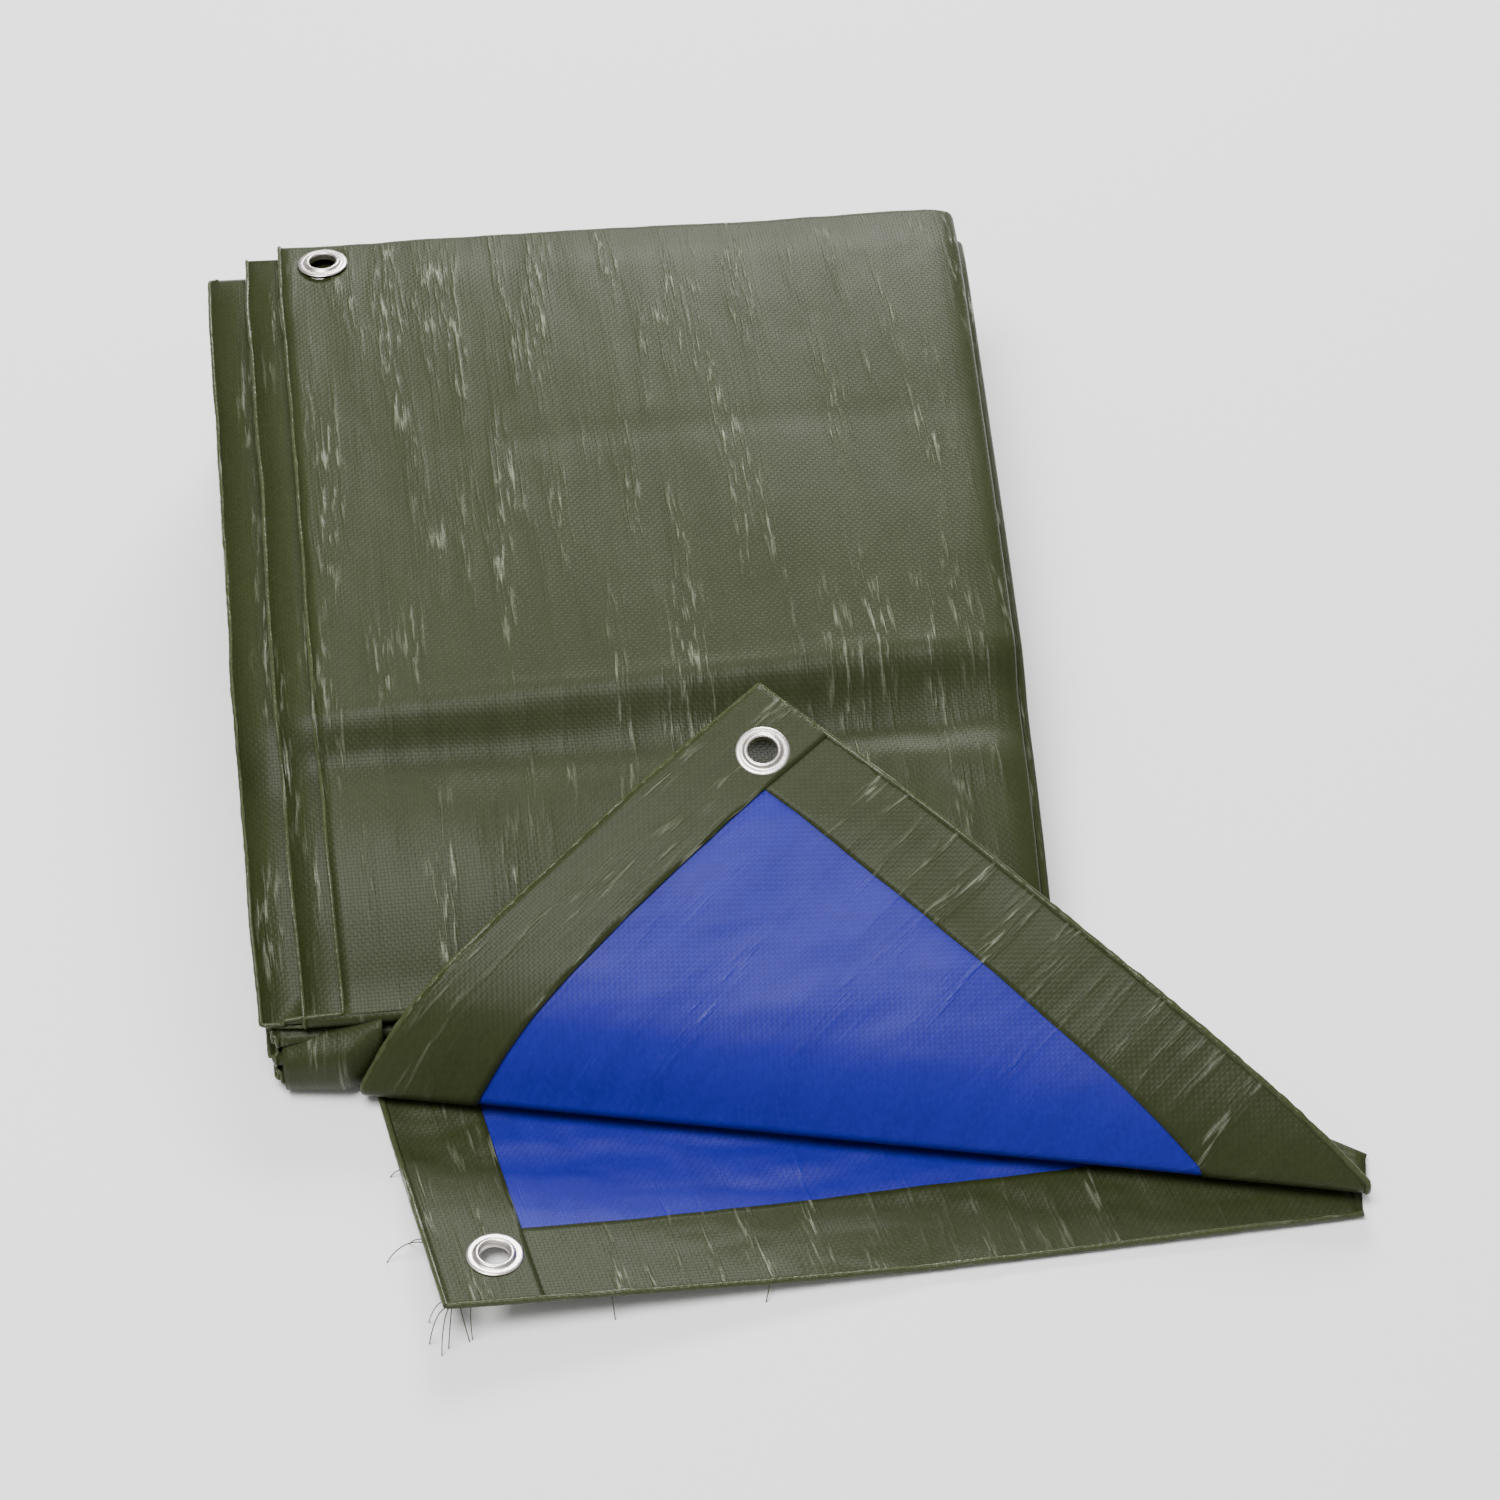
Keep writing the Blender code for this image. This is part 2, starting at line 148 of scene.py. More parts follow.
top_curve = smooth_reader(PROFILE, "y", "top")
flap_left_curve = smooth_reader(FLAP_EDGES, "share", "left")
flap_right_curve = smooth_reader(FLAP_EDGES, "share", "right")
print("top of the pack at the ridge:", round(top_curve(-6), 1), "mm")

# %% [markdown]
# ## The two corners at the near end
#
# Both corners are described in the cloth's own measure: u and v run along the two hems from the
# corner. The flap goes down from the ridge, bends over a small roll and runs back to the pack. The
# lower sheet lies on the ground and springs up a little at its corner.

# %% Flap: from a place on the cloth to a place in space
FLAP_RIGHT_EDGE = (BEND_RIGHT - FLAP_CORNER).length
FLAP_LEFT_EDGE = (BEND_LEFT - FLAP_CORNER).length
BEND_ALONG = (BEND_RIGHT - BEND_LEFT).normalized()
BEND_OUT = BEND_ALONG.cross(UP).normalized()
FLAP_DEPTH = (BEND_LEFT - FLAP_CORNER).dot(BEND_OUT)
BEND_TURN = math.pi - BEND_START
ROLL_END = 1 + BEND_RADIUS * BEND_TURN / FLAP_DEPTH
PACK_FRONT = -131 * MM        # the hidden run behind the bend ends here, at the pack
PACK_RIGHT = 103 * MM
HIDDEN_TIP = Vector((216, -203, 0)) * MM


def wave(x, y, size, seed):
    """Even, repeatable noise from -1 to 1 with lumps of about the given size."""
    return noise.noise(Vector((x / size + 17.3 * seed, y / size - 9.1 * seed, 3.7 * seed)))


def flap_share(u, v):
    return u / FLAP_RIGHT_EDGE + v / FLAP_LEFT_EDGE


def flap_point(u, v):
    share = flap_share(u, v)
    across = u / FLAP_RIGHT_EDGE / share if share else 0.5
    on_flap = min(share, 1.0)
    point = FLAP_CORNER.lerp(BEND_LEFT.lerp(BEND_RIGHT, across), on_flap)
    left, right = flap_left_curve(on_flap), flap_right_curve(on_flap)
    point.z = mix(left, right, across) * MM
    # Broad, soft hollows in the blue cloth, none at the eyelet, the edges or the bend.
    middle = min(1.0, 6 * across * (1 - across))
    middle *= math.sin(math.pi * min(1, max(0, on_flap - 0.2) / 0.8))
    swell = 3.4 * wave(point.x, point.y, 0.085, 1) + 1.5 * wave(point.x, point.y * 1.6, 0.034, 2)
    swell += 0.35 * wave(point.x * 0.6, point.y * 1.8, 0.012, 3)
    point.z += swell * middle * MM
    past = (share - 1) * FLAP_DEPTH
    if past > 0:
        angle = BEND_START + min(past / BEND_RADIUS, BEND_TURN)
        point += BEND_RADIUS * (math.sin(angle) - math.sin(BEND_START)) * BEND_OUT
        point += BEND_RADIUS * (math.cos(angle) - math.cos(BEND_START)) * UP
    return point


SHEET_LENGTH = (SHEET_TIP - SHEET_CORNER).length
SHEET_DEPTH = (SHEET_INNER - SHEET_CORNER).length
SHEET_FRONT = (SHEET_TIP - SHEET_CORNER).normalized()
SHEET_BACK = (SHEET_INNER - SHEET_CORNER).normalized()
SHEET_CLEAR = 0.4 * MM        # the sheet's middle lies this far above the ground
LIFT_BLEND = 0.25             # the sprung corner runs out softly below this share of its lift


def sheet_point(u, v):
    reach = 1 - u / LIFT_ALONG - v / LIFT_BACK
    lift = reach if reach > LIFT_BLEND else max(0.0, reach + LIFT_BLEND) ** 2
    point = SHEET_CORNER + u * SHEET_FRONT + v * SHEET_BACK
    # Creases run along the front edge, and the stiff eyelet corner has none.
    flat = 1 - min(1.0, max(0.0, reach - 0.1) / 0.3)
    ripple = 1.7 * abs(wave(point.x, point.y * 3, 0.06, 5))
    ripple += 1.1 * abs(wave(point.x, point.y * 4, 0.025, 6))
    point.z += SHEET_CLEAR + CORNER_LIFT * lift + ripple * flat * MM
    return point


print("flap edges", round(FLAP_LEFT_EDGE, 3), "and", round(FLAP_RIGHT_EDGE, 3), "m")

# %% Where the layout sits in the frame
ring_low, ring_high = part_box("eyelet_flap")
SHIFT = flap_point(EYELET_INSET, EYELET_INSET) - (ring_low + ring_high) / 2
SHIFT.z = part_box("folded_pack")[0].z
PACK_EYELET, FLAP_EYELET, SHEET_EYELET = (
    sum(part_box(node), Vector()) / 2 for node in ("eyelet_pack", "eyelet_flap", "eyelet_sheet")
)
print("shift from the layout to the frame:", [round(s, 4) for s in SHIFT])

# %% [markdown]
# ## Cloth as a grid
#
# Every sheet is a grid of points with its own UV map in metres of cloth, so that the weave follows
# the folds. Solidify gives it its thin wall, and puts the second material on the other side. It
# could be a cloth simulation, but pressed folds like these keep the shape that hands gave them.

# %% A helper that adds a finished piece
def add_piece(name, mesh, replaces=()):
    thing = bpy.data.objects.new(name, mesh)
    bpy.context.scene.collection.objects.link(thing)
    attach(thing, "root")
    if replaces:
        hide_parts(*replaces)
    return thing


# %% Grids of cloth
CUT = 7.6 * MM            # radius of the hole in the cloth; the eyelet's flange covers its rim


def grid_mesh(name, points, cloth_uv, materials, hole=None, hem_side=None):
    """points is rows x columns x 3, and cloth_uv the same places on the cloth. hole is the centre
    of an eyelet in the frame; squares of the hem round it are left out. hem_side is true where
    both sides are the hem's colour."""
    points = points - np.array(SHIFT)
    rows, columns = points.shape[:2]
    faces, in_hem = [], []
    for i in range(rows - 1):
        for j in range(columns - 1):
            middle = (points[i, j] + points[i + 1, j + 1]) / 2
            if hole is not None and cloth_uv[i, j, 0] < 1.4 * HEM:
                if np.linalg.norm(middle - np.array(hole)) < CUT:
                    continue
            a = i * columns + j
            faces.append((a, a + 1, a + columns + 1, a + columns))
            in_hem.append(2 if hem_side is not None and hem_side[i, j] else 0)
    mesh = bpy.data.meshes.new(name)
    mesh.from_pydata(points.reshape(-1, 3).tolist(), [], faces)
    layer = mesh.uv_layers.new(name="cloth")
    uv = cloth_uv.reshape(-1, 2)
    index = np.empty(len(mesh.loops), np.int32)
    mesh.loops.foreach_get("vertex_index", index)
    layer.data.foreach_set("uv", uv[index].astype(np.float32).ravel())
    for material in materials:
        mesh.materials.append(material)
    mesh.polygons.foreach_set("material_index", in_hem)
    clean = bmesh.new()
    clean.from_mesh(mesh)
    bmesh.ops.dissolve_degenerate(clean, dist=1e-6, edges=clean.edges)
    loose = [v for v in clean.verts if not v.link_faces]
    bmesh.ops.delete(clean, geom=loose, context="VERTS")
    clean.to_mesh(mesh)
    clean.free()
    mesh.shade_smooth()
    return mesh


def thicken(thing, thickness, inner_material=0):
    wall = thing.modifiers.new("wall", "SOLIDIFY")
    wall.thickness = thickness
    wall.offset = 0.0  # half of the wall lies on each side
    wall.material_offset = inner_material
    wall.use_even_offset = False


def normals_of(points):
    """Normals of a grid of points, by differences along its rows and columns."""
    along = np.gradient(points, axis=0)
    across = np.gradient(points, axis=1)
    normals = np.cross(across, along)
    length = np.linalg.norm(normals, axis=2, keepdims=True)
    return normals / np.maximum(length, 1e-12)


# %% [markdown]
# ## Finishes
#
# Coated tape cloth shows a plain weave under a clear film, and the film glints in narrow streaks
# where it is strained. Image textures could give that, but a weave worked out from the cloth's own
# UV map stays sharp at any size and turns with every fold. The weave and the streaks are node
# groups, because the green and the blue side both need them.

# %% A short way to write nodes
class Nodes:
    """Makes and links nodes in one tree."""

    def __init__(self, tree):
        self.tree = tree

    def add(self, kind, inputs=(), **settings):
        node = self.tree.nodes.new(kind)
        for key, value in settings.items():
            setattr(node, key, value)
        for key, value in dict(inputs).items():
            self.feed(node.inputs[key], value)
        return node

    def feed(self, socket, value):
        if isinstance(value, bpy.types.NodeSocket):
            self.tree.links.new(value, socket)
        else:
            socket.default_value = value

    def math(self, operation, a, b=0.0, c=0.0):
        node = self.tree.nodes.new("ShaderNodeMath")
        node.operation = operation
        for socket, value in zip(node.inputs, (a, b, c)):
            self.feed(socket, value)
        return node.outputs[0]


def new_group(name, inputs, outputs):
    tree = bpy.data.node_groups.new(name, "ShaderNodeTree")
    for label, kind, value in inputs:
        socket = tree.interface.new_socket(label, in_out="INPUT", socket_type=kind)
        if value is not None:
            socket.default_value = value
    for label, kind in outputs:
        tree.interface.new_socket(label, in_out="OUTPUT", socket_type=kind)
    nodes = Nodes(tree)
    return tree, nodes, nodes.add("NodeGroupInput"), nodes.add("NodeGroupOutput")


# %% The weave: flat tapes that go over and under
FLOAT, VECTOR = "NodeSocketFloat", "NodeSocketVector"


def weave_group():
    tree, n, given, result = new_group(
        "tape weave",
        [("Cloth", VECTOR, None), ("Tape width", FLOAT, 0.0014)],
        [("Height", FLOAT), ("Tone", FLOAT)],
    )
    apart = n.add("ShaderNodeSeparateXYZ", {"Vector": given.outputs["Cloth"]})
    u = n.math("DIVIDE", apart.outputs["X"], given.outputs["Tape width"])
    v = n.math("DIVIDE", apart.outputs["Y"], given.outputs["Tape width"])
    column, row = n.math("FLOOR", u), n.math("FLOOR", v)
    over = n.math("ABSOLUTE", n.math("MODULO", n.math("ADD", column, row), 2))

    def crown(value):
        centred = n.math("SUBTRACT", n.math("MULTIPLY", n.math("FRACT", value), 2), 1)
        return n.math("SUBTRACT", 1, n.math("POWER", n.math("ABSOLUTE", centred), 4))

    warp, weft = crown(u), crown(v)
    height = n.add("ShaderNodeMix", {0: over, 2: warp, 3: weft}).outputs[0]
    cell = n.add("ShaderNodeCombineXYZ", {"X": column, "Y": row})
    random = n.add("ShaderNodeTexWhiteNoise", {"Vector": cell.outputs[0]}, noise_dimensions="2D")
    n.feed(result.inputs["Height"], height)
    n.feed(result.inputs["Tone"], random.outputs["Value"])
    return tree


def streak_group():
    """Narrow spindles along the strip where the film is pulled into small folds."""
    tree, n, given, result = new_group(
        "film streaks",
        [("Cloth", VECTOR, None), ("Across", FLOAT, 380.0), ("Along", FLOAT, 44.0)],
        [("Height", FLOAT), ("Glint", FLOAT), ("Drift", FLOAT)],
    )

    def stretched(scale, detail, shift):
        stretch = n.add("ShaderNodeCombineXYZ")
        n.feed(stretch.inputs["X"], n.math("MULTIPLY", given.outputs["Across"], scale))
        n.feed(stretch.inputs["Y"], n.math("MULTIPLY", given.outputs["Along"], scale))
        placed = n.add(
            "ShaderNodeVectorMath",
            {0: given.outputs["Cloth"], 1: stretch.outputs[0], 2: (shift, shift, 0.0)},
            operation="MULTIPLY_ADD",
        )
        settings = {"Vector": placed.outputs[0], "Scale": 1.0, "Detail": detail}
        return n.add("ShaderNodeTexNoise", settings).outputs["Fac"]

    def between(value, low, high):
        gate = n.add("ShaderNodeMapRange", {"Value": value, "From Min": low, "From Max": high})
        gate.interpolation_type = "SMOOTHSTEP"
        return gate.outputs[0]

    fine, group = stretched(1.35, 2.5, 3.1), stretched(0.22, 1.0, 7.7)
    spindle = n.math("MULTIPLY", between(fine, 0.50, 0.72), between(group, 0.50, 0.70))
    calm = n.math("MULTIPLY", fine, n.math("ADD", 0.3, between(group, 0.40, 0.62)))
    n.feed(result.inputs["Height"], n.math("ADD", calm, n.math("MULTIPLY", spindle, 1.3)))
    # Glint marks where the cloth's colour gets its painted highlight, and where the film is glossier.
    n.feed(result.inputs["Glint"], spindle)
    n.feed(result.inputs["Drift"], stretched(0.33, 3.0, 1.9))
    return tree


WEAVE, STREAKS = weave_group(), streak_group()
print("groups:", WEAVE.name, "and", STREAKS.name)

# %% The green and the blue side of the cloth
Finish = namedtuple("Finish", "name base dark pale glint glint_share rough_low rough_high fold weave")
FINISHES = [
    Finish("green coated cloth", (0.026, 0.033, 0.0090), (0.017, 0.022, 0.0060), (0.038, 0.046, 0.016),
           (0.34, 0.36, 0.27), 0.50, 0.16, 0.46, 0.00030, 0.00005),
    Finish("blue coated cloth", (0.0100, 0.0100, 0.24), (0.0070, 0.0070, 0.17), (0.018, 0.019, 0.32),
           (0.04, 0.07, 0.42), 0.10, 0.34, 0.46, 0.00010, 0.00003),
    # The film over the cord is painted lighter than the cloth and takes more painted glint: a painted
    # highlight along the beads and loose threads.
    Finish("green film over the cord", (0.050, 0.060, 0.025), (0.028, 0.036, 0.012), (0.09, 0.10, 0.055),
           (0.42, 0.44, 0.36), 0.70, 0.12, 0.22, 0.00050, 0.00005),
]


def blend(n, share, first, second):
    """Mixes two colours, each a socket or four numbers."""
    return n.add("ShaderNodeMix", {0: share, 6: first, 7: second}, data_type="RGBA").outputs[2]


def cloth_material(finish):
    material = bpy.data.materials.new(finish.name)
    material.use_nodes = True
    tree = material.node_tree
    tree.nodes.clear()
    n = Nodes(tree)
    shader = n.add("ShaderNodeBsdfPrincipled", {"Specular IOR Level": 0.17})
    n.add("ShaderNodeOutputMaterial", {"Surface": shader.outputs[0]})
    cloth = n.add("ShaderNodeUVMap", uv_map="cloth").outputs["UV"]
    weave = n.add("ShaderNodeGroup", node_tree=WEAVE)
    n.feed(weave.inputs["Cloth"], cloth)
    streaks = n.add("ShaderNodeGroup", node_tree=STREAKS)
    n.feed(streaks.inputs["Cloth"], cloth)
    height, glint = weave.outputs["Height"], streaks.outputs["Glint"]
    # Colour: drift between two tones, a little difference from tape to tape, dark between tapes,
    # and a painted highlight: pale glint spindles where the film is strained, painted into the colour.
    dark = (*finish.dark, 1)
    shade = blend(n, streaks.outputs["Drift"], dark, (*finish.base, 1))
    tape = blend(n, n.math("MULTIPLY", weave.outputs["Tone"], 0.22), shade, (*finish.pale, 1))
    seam = n.math("MULTIPLY", n.math("SUBTRACT", 1, height), 0.35)
    ribs = n.math("ADD", 0.35, n.math("MULTIPLY", height, 0.65))
    # The pale glint colour laid on here is a painted highlight, strongest on the crowns of the tapes.
    painted_glint = n.math("MULTIPLY", n.math("MULTIPLY", glint, ribs), finish.glint_share)
    colour = blend(n, painted_glint, blend(n, seam, tape, dark), (*finish.glint, 1))
    n.feed(shader.inputs["Base Color"], colour)
    # Gloss: the film is smoother where it is strained.
    ends = {"To Min": finish.rough_high, "To Max": finish.rough_low}
    gloss = n.add("ShaderNodeMapRange", {"Value": glint, **ends})
    n.feed(shader.inputs["Roughness"], gloss.outputs[0])
    fine = n.add("ShaderNodeBump", {"Height": height, "Distance": finish.weave})
    fold = n.add(
        "ShaderNodeBump",
        {"Height": streaks.outputs["Height"], "Distance": finish.fold, "Normal": fine.outputs[0]},
    )
    n.feed(shader.inputs["Normal"], fold.outputs[0])
    return material


# BEAD is the green painted lighter, as a painted highlight on the cords and threads.
GREEN, BLUE, BEAD = (cloth_material(finish) for finish in FINISHES)


def metal_material():
    material = bpy.data.materials.new("eyelet metal")
    material.use_nodes = True
    tree = material.node_tree
    n = Nodes(tree)
    shader = tree.nodes["Principled BSDF"]
    shader.inputs["Metallic"].default_value = 1.0
    where = n.add("ShaderNodeTexCoord").outputs["Object"]
    drift = n.add("ShaderNodeTexNoise", {"Vector": where, "Scale": 260.0, "Detail": 5.0})
    colour = blend(n, drift.outputs["Fac"], (0.55, 0.50, 0.47, 1), (0.86, 0.80, 0.77, 1))
    n.feed(shader.inputs["Base Color"], colour)
    rough = n.add("ShaderNodeMapRange", {"Value": drift.outputs["Fac"], "To Min": 0.22, "To Max": 0.46})
    n.feed(shader.inputs["Roughness"], rough.outputs[0])
    scratch = n.add("ShaderNodeTexNoise", {"Vector": where, "Scale": 1400.0, "Detail": 2.0})
    bump = n.add("ShaderNodeBump", {"Height": scratch.outputs["Fac"], "Distance": 0.00006})
    n.feed(shader.inputs["Normal"], bump.outputs[0])
    return material


METAL = metal_material()
print("finishes:", GREEN.name, "/", BLUE.name, "/", METAL.name)

# %% [markdown]
# ## The folded pack
#
# The pack is one doubled strip. Its cross-section is a flat U: lower ply, round fold on the right,
# upper ply. That U is swept along a route that goes back and forth. Separate sheets, one for each
# layer, would be simpler, but then the folds at the back and the front would be cut edges.

# %% The route of the strip
def ply_gap(y):
    return mix(GAP_FRONT, GAP_BACK, max(0.0, (y + 0.1) / (BACK + 0.1)))


def layer_height(number, y):
    half = ply_gap(y) / 2 + PLY
    return half + number / LAST * (top_curve(y / MM) * MM - 2 * half)


Stop = namedtuple("Stop", "y z low up right level")


def stop(y, z, first, second):
    a, b = LAYERS[first], LAYERS[second]
    left = LEFT_SLANT * (y - BACK)
    return Stop(
        y,
        z,
        (a.left_low + b.left_low) / 2 * MM + left,
        (a.left_up + b.left_up) / 2 * MM + left,
        (a.right + b.right) / 2 * MM + RIGHT_SLANT * (y - BACK),
        (first + second) / 2,
    )


def strip_route(spacing, top_spacing, turn_steps=8):
    stops = []
    for number, layer in enumerate(LAYERS):
        front = layer.front * MM
        back = BACK - (7 + 2 * ((number + 1) // 2 % 2)) * MM
        back = {0: BACK - 10 * MM, LAST: TOP_END}.get(number, back)
        step = top_spacing if number == LAST else spacing
        line = np.linspace(front, back, round((back - front) / step) + 1)
        if number % 2:
            line = line[::-1]
        stops += [stop(y, layer_height(number, y), number, number) for y in line]
        y, low = line[-1], stops[-1].z
        if number == LAST:
            break
        high = layer_height(number + 1, y)
        outward = -1 if number % 2 else 1
        for i in range(1, turn_steps):
            turn = math.pi * i / turn_steps
            reach = outward * (high - low) / 2 * math.sin(turn)
            stops.append(stop(y + reach, mix(low, high, (1 - math.cos(turn)) / 2), number, number + 1))
    for i in range(1, 6):
        turn = math.pi / 2 * i / 5
        drop = TURN_DOWN * (1 - math.cos(turn))
        stops.append(stop(y + TURN_DOWN * math.sin(turn), low - drop, LAST, LAST))
    for i in range(1, 4):
        stops.append(stop(y + TURN_DOWN, low - TURN_DOWN - 3 * MM * i, LAST, LAST))
    return stops


# %% [markdown]
# ## Creases and hollows
#
# The top is never flat: a ridge crosses it, the cloth sinks below the ridge, and old folds leave
# thin lines. Each crease is a soft line with its own ends, width and depth. Painting them in the
# finish alone would leave the outline smooth. Broad lumps and long fine streaks come from noise.

# %% Creases and hollows of the top
Crease = namedtuple("Crease", "x0 y0 x1 y1 wide deep")
CREASES = [  # in millimetres; a positive depth is a ridge, a negative one a trough
    Crease(40, 170, 56, 206, 2.2, -0.8),
    Crease(88, 214, 100, 228, 1.8, -0.7),
    Crease(-70, -62, -52, -88, 1.8, 0.9),
    Crease(-62, -64, -50, -80, 1.4, -0.7),
    Crease(-178, -13, 108, 4, 4.0, 1.0),
    Crease(-150, 120, 100, 128, 7.0, -0.4),
    Crease(-10, -24, 106, -26, 11.0, -4.6),
    Crease(-165, -30, 20, -30, 8.0, -1.4),
    Crease(20, -36, 100, -60, 7.0, -1.2),
    Crease(-170, -22, -60, -16, 7.0, -0.8),
    Crease(60, 12, 112, -30, 4.0, 0.9),
    Crease(84, -4, 112, -44, 3.0, -0.9),
    Crease(-120, -40, -100, -92, 12.0, 1.2),
    Crease(-90, 40, -84, 160, 14.0, 0.5),
    Crease(20, 60, 24, 200, 16.0, 0.7),
    Crease(-30, 30, -26, 110, 9.0, -0.5),
]


def crease_height(x, y):
    """Sum of the creases at a place given in millimetres, each fading out at its two ends."""
    total = 0.0
    for c in CREASES:
        run = Vector((c.x1 - c.x0, c.y1 - c.y0))
        offset = Vector((x - c.x0, y - c.y0))
        along = offset.dot(run) / run.length_squared
        if not -0.15 < along < 1.15:
            continue
        aside = (offset - run * along).length / c.wide
        if aside < 3:
            total += c.deep * math.exp(-aside * aside) * math.sin(math.pi * (along + 0.15) / 1.3)
    return total


def relief(x, y):
    """How far the top stands proud of its plain profile, in metres."""
    broad = 1.3 * wave(x, y, 0.075, 11)
    streaks = 0.45 * wave(x, y * 0.25, 0.011, 12) + 0.25 * wave(x, y * 0.3, 0.006, 13)
    calm = 0.35 + 0.65 * min(1, max(0, (y + 0.13) / 0.06))
    # The ridge runs a little askew: further back on the right than on the left.
    askew = mix(-5, 13, min(1, max(0, (x + 0.17) / 0.28)))
    askew *= min(1, max(0, (y + 0.10) / 0.04)) * min(1, max(0, (0.10 - y) / 0.06))
    ridge = top_curve(y / MM - askew) - top_curve(y / MM)
    return (broad + streaks * calm + crease_height(x / MM, y / MM) + ridge) * MM


# %% Sweep the doubled strip along its route
UP_COLUMNS, FOLD_COLUMNS, LOW_COLUMNS = 60, 5, 22
PACK_ROUND = 0.66         # metres of cloth from one edge of the doubled strip round to the other
EDGE_WANDER = 0.9 * MM    # how far the strip's left edges stray
SIDE_ROUND, SIDE_DROP = 14 * MM, 3.2 * MM  # the top rounds off at its right side


def strip_section(here, along_y, along_z, run):
    """Points and cloth places of the U: upper ply from the left, round fold, lower ply back."""
    out = Vector((0, -along_z, along_y))
    middle = Vector((0, here.y, here.z))
    half = ply_gap(here.y) / 2 + PLY / 2
    fold = here.right - half
    low = here.low + EDGE_WANDER * wave(here.y, here.level, 0.03, 21)
    up = here.up + EDGE_WANDER * wave(here.y, here.level, 0.03, 22)
    row, uv = [], []
    for i in range(UP_COLUMNS):
        x = mix(up, fold, i / (UP_COLUMNS - 1))
        row.append(middle + Vector((x, 0, 0)) + out * half)
        uv.append((x - up, run))
    for i in range(1, FOLD_COLUMNS):
        turn = math.pi * i / FOLD_COLUMNS
        side = Vector((math.sin(turn), 0, 0)) + out * math.cos(turn)
        row.append(middle + Vector((fold, 0, 0)) + side * half)
        uv.append((fold - up + half * turn, run))
    for i in range(LOW_COLUMNS):
        x = mix(fold, low, i / (LOW_COLUMNS - 1))
        row.append(middle + Vector((x, 0, 0)) - out * half)
        uv.append((PACK_ROUND - (x - low), run))
    # Lower layers follow the top's relief less and less.
    weight = (here.level / LAST) ** 2
    for point in row:
        edge = min(1.0, max(0.0, (point.x - here.right + SIDE_ROUND) / SIDE_ROUND))
        point.z += weight * (relief(point.x, point.y) - SIDE_DROP * edge * edge)
    return [tuple(point) for point in row], uv


# %% The whole strip as one sheet
def build_pack():
    stops = strip_route(spacing=12 * MM, top_spacing=4.2 * MM)
    middle = np.array([(s.y, s.z) for s in stops])
    tangent = np.gradient(middle, axis=0)
    tangent /= np.linalg.norm(tangent, axis=1, keepdims=True)
    travelled = np.concatenate([[0], np.cumsum(np.linalg.norm(np.diff(middle, axis=0), axis=1))])
    sections = [strip_section(here, *turn, run) for here, turn, run in zip(stops, tangent, travelled)]
    points = np.array([row for row, _ in sections])
    cloth_uv = np.array([uv for _, uv in sections])
    points[:, :, 2] = np.maximum(points[:, :, 2], CLOTH)
    flat = (float(cloth_uv[-1, -1, 0]), float(travelled[-1]))
    # Within a hem's width of its two edges the inner side is green as well.
    hem_side = (cloth_uv[:, :, 0] < HEM) | (cloth_uv[:, :, 0] > PACK_ROUND - 1.3 * HEM)
    mesh = grid_mesh(
        "pack cloth", points, cloth_uv, [GREEN, BLUE, GREEN, GREEN], PACK_EYELET, hem_side
    )
    pack = add_piece("pack_cloth", mesh, ["folded_pack", "pack_hem_strip"])
    thicken(pack, CLOTH, inner_material=1)
    print("pack:", len(mesh.polygons), "squares, cloth", [round(side, 2) for side in flat], "m")
    return pack, points, flat


pack_cloth, pack_points, PACK_FLAT = build_pack()

# %% [markdown]
# ## The turned-back flap
#
# The flap shows the blue side, with the hem's green turned over it along both edges. Rows follow
# the bend, so they shrink to a point at the corner and roll over evenly at the bend. The hem is a
# second thin sheet just above the blue one, as the real hem is: painting it on would lose the
# small step that catches the light.

# %% Run behind the bend, back to the pack
def back_line(point):
    """Where the cloth behind the bend meets the pack, or the fold at its right side."""
    corner = Vector((PACK_RIGHT, PACK_FRONT, 0))
    away = Vector((-BEND_OUT.x, -BEND_OUT.y, 0))
    to_pack = (PACK_FRONT - point.y) / away.y
    run = HIDDEN_TIP - corner
    side = Vector((run.y, -run.x, 0))
    to_side = side.dot(corner - point) / side.dot(away)
    flat = Vector((point.x, point.y, 0))
    if point.x + away.x * to_pack <= PACK_RIGHT:
        return flat + away * to_pack, False
    return flat + away * max(to_side, 1 * MM), True


RETURN_STEPS, SIDE_STEPS = 7, 5
SIDE_FOLD = 2.4 * MM


def return_points(roll_end):
    """The hidden run from the end of the roll to the pack, then down round the side fold."""
    end, at_side = back_line(roll_end)
    end.z = SIDE_FOLD * 2 if at_side else 2.6 * MM
    points = [roll_end.lerp(end, i / RETURN_STEPS) for i in range(1, RETURN_STEPS + 1)]
    outward = Vector((HIDDEN_TIP.y - PACK_FRONT, PACK_RIGHT - HIDDEN_TIP.x, 0)).normalized() * -1
    for i in range(1, SIDE_STEPS + 1):
        turn = math.pi * i / SIDE_STEPS
        if at_side:
            drop = SIDE_FOLD * 0.9 * (1 - math.cos(turn))
            points.append(end + outward * SIDE_FOLD * math.sin(turn) - UP * drop)
        else:
            points.append(end + Vector((0, 0.4 * MM * i, 0)))
    return points


# %% Flap cloth
def oriented(points, uv):
    """Turns the grid's columns round if its faces would look down where it starts."""
    if normals_of(points)[: max(3, len(points) // 2), :, 2].mean() < 0:
        return points[:, ::-1], uv[:, ::-1]
    return points, uv


UNDER_HEM = HEM - 4 * MM  # the blue begins here, 4 mm under the edge of the hem strips
FLAP_ROWS, ROLL_ROWS, FLAP_COLUMNS = 75, 8, 80


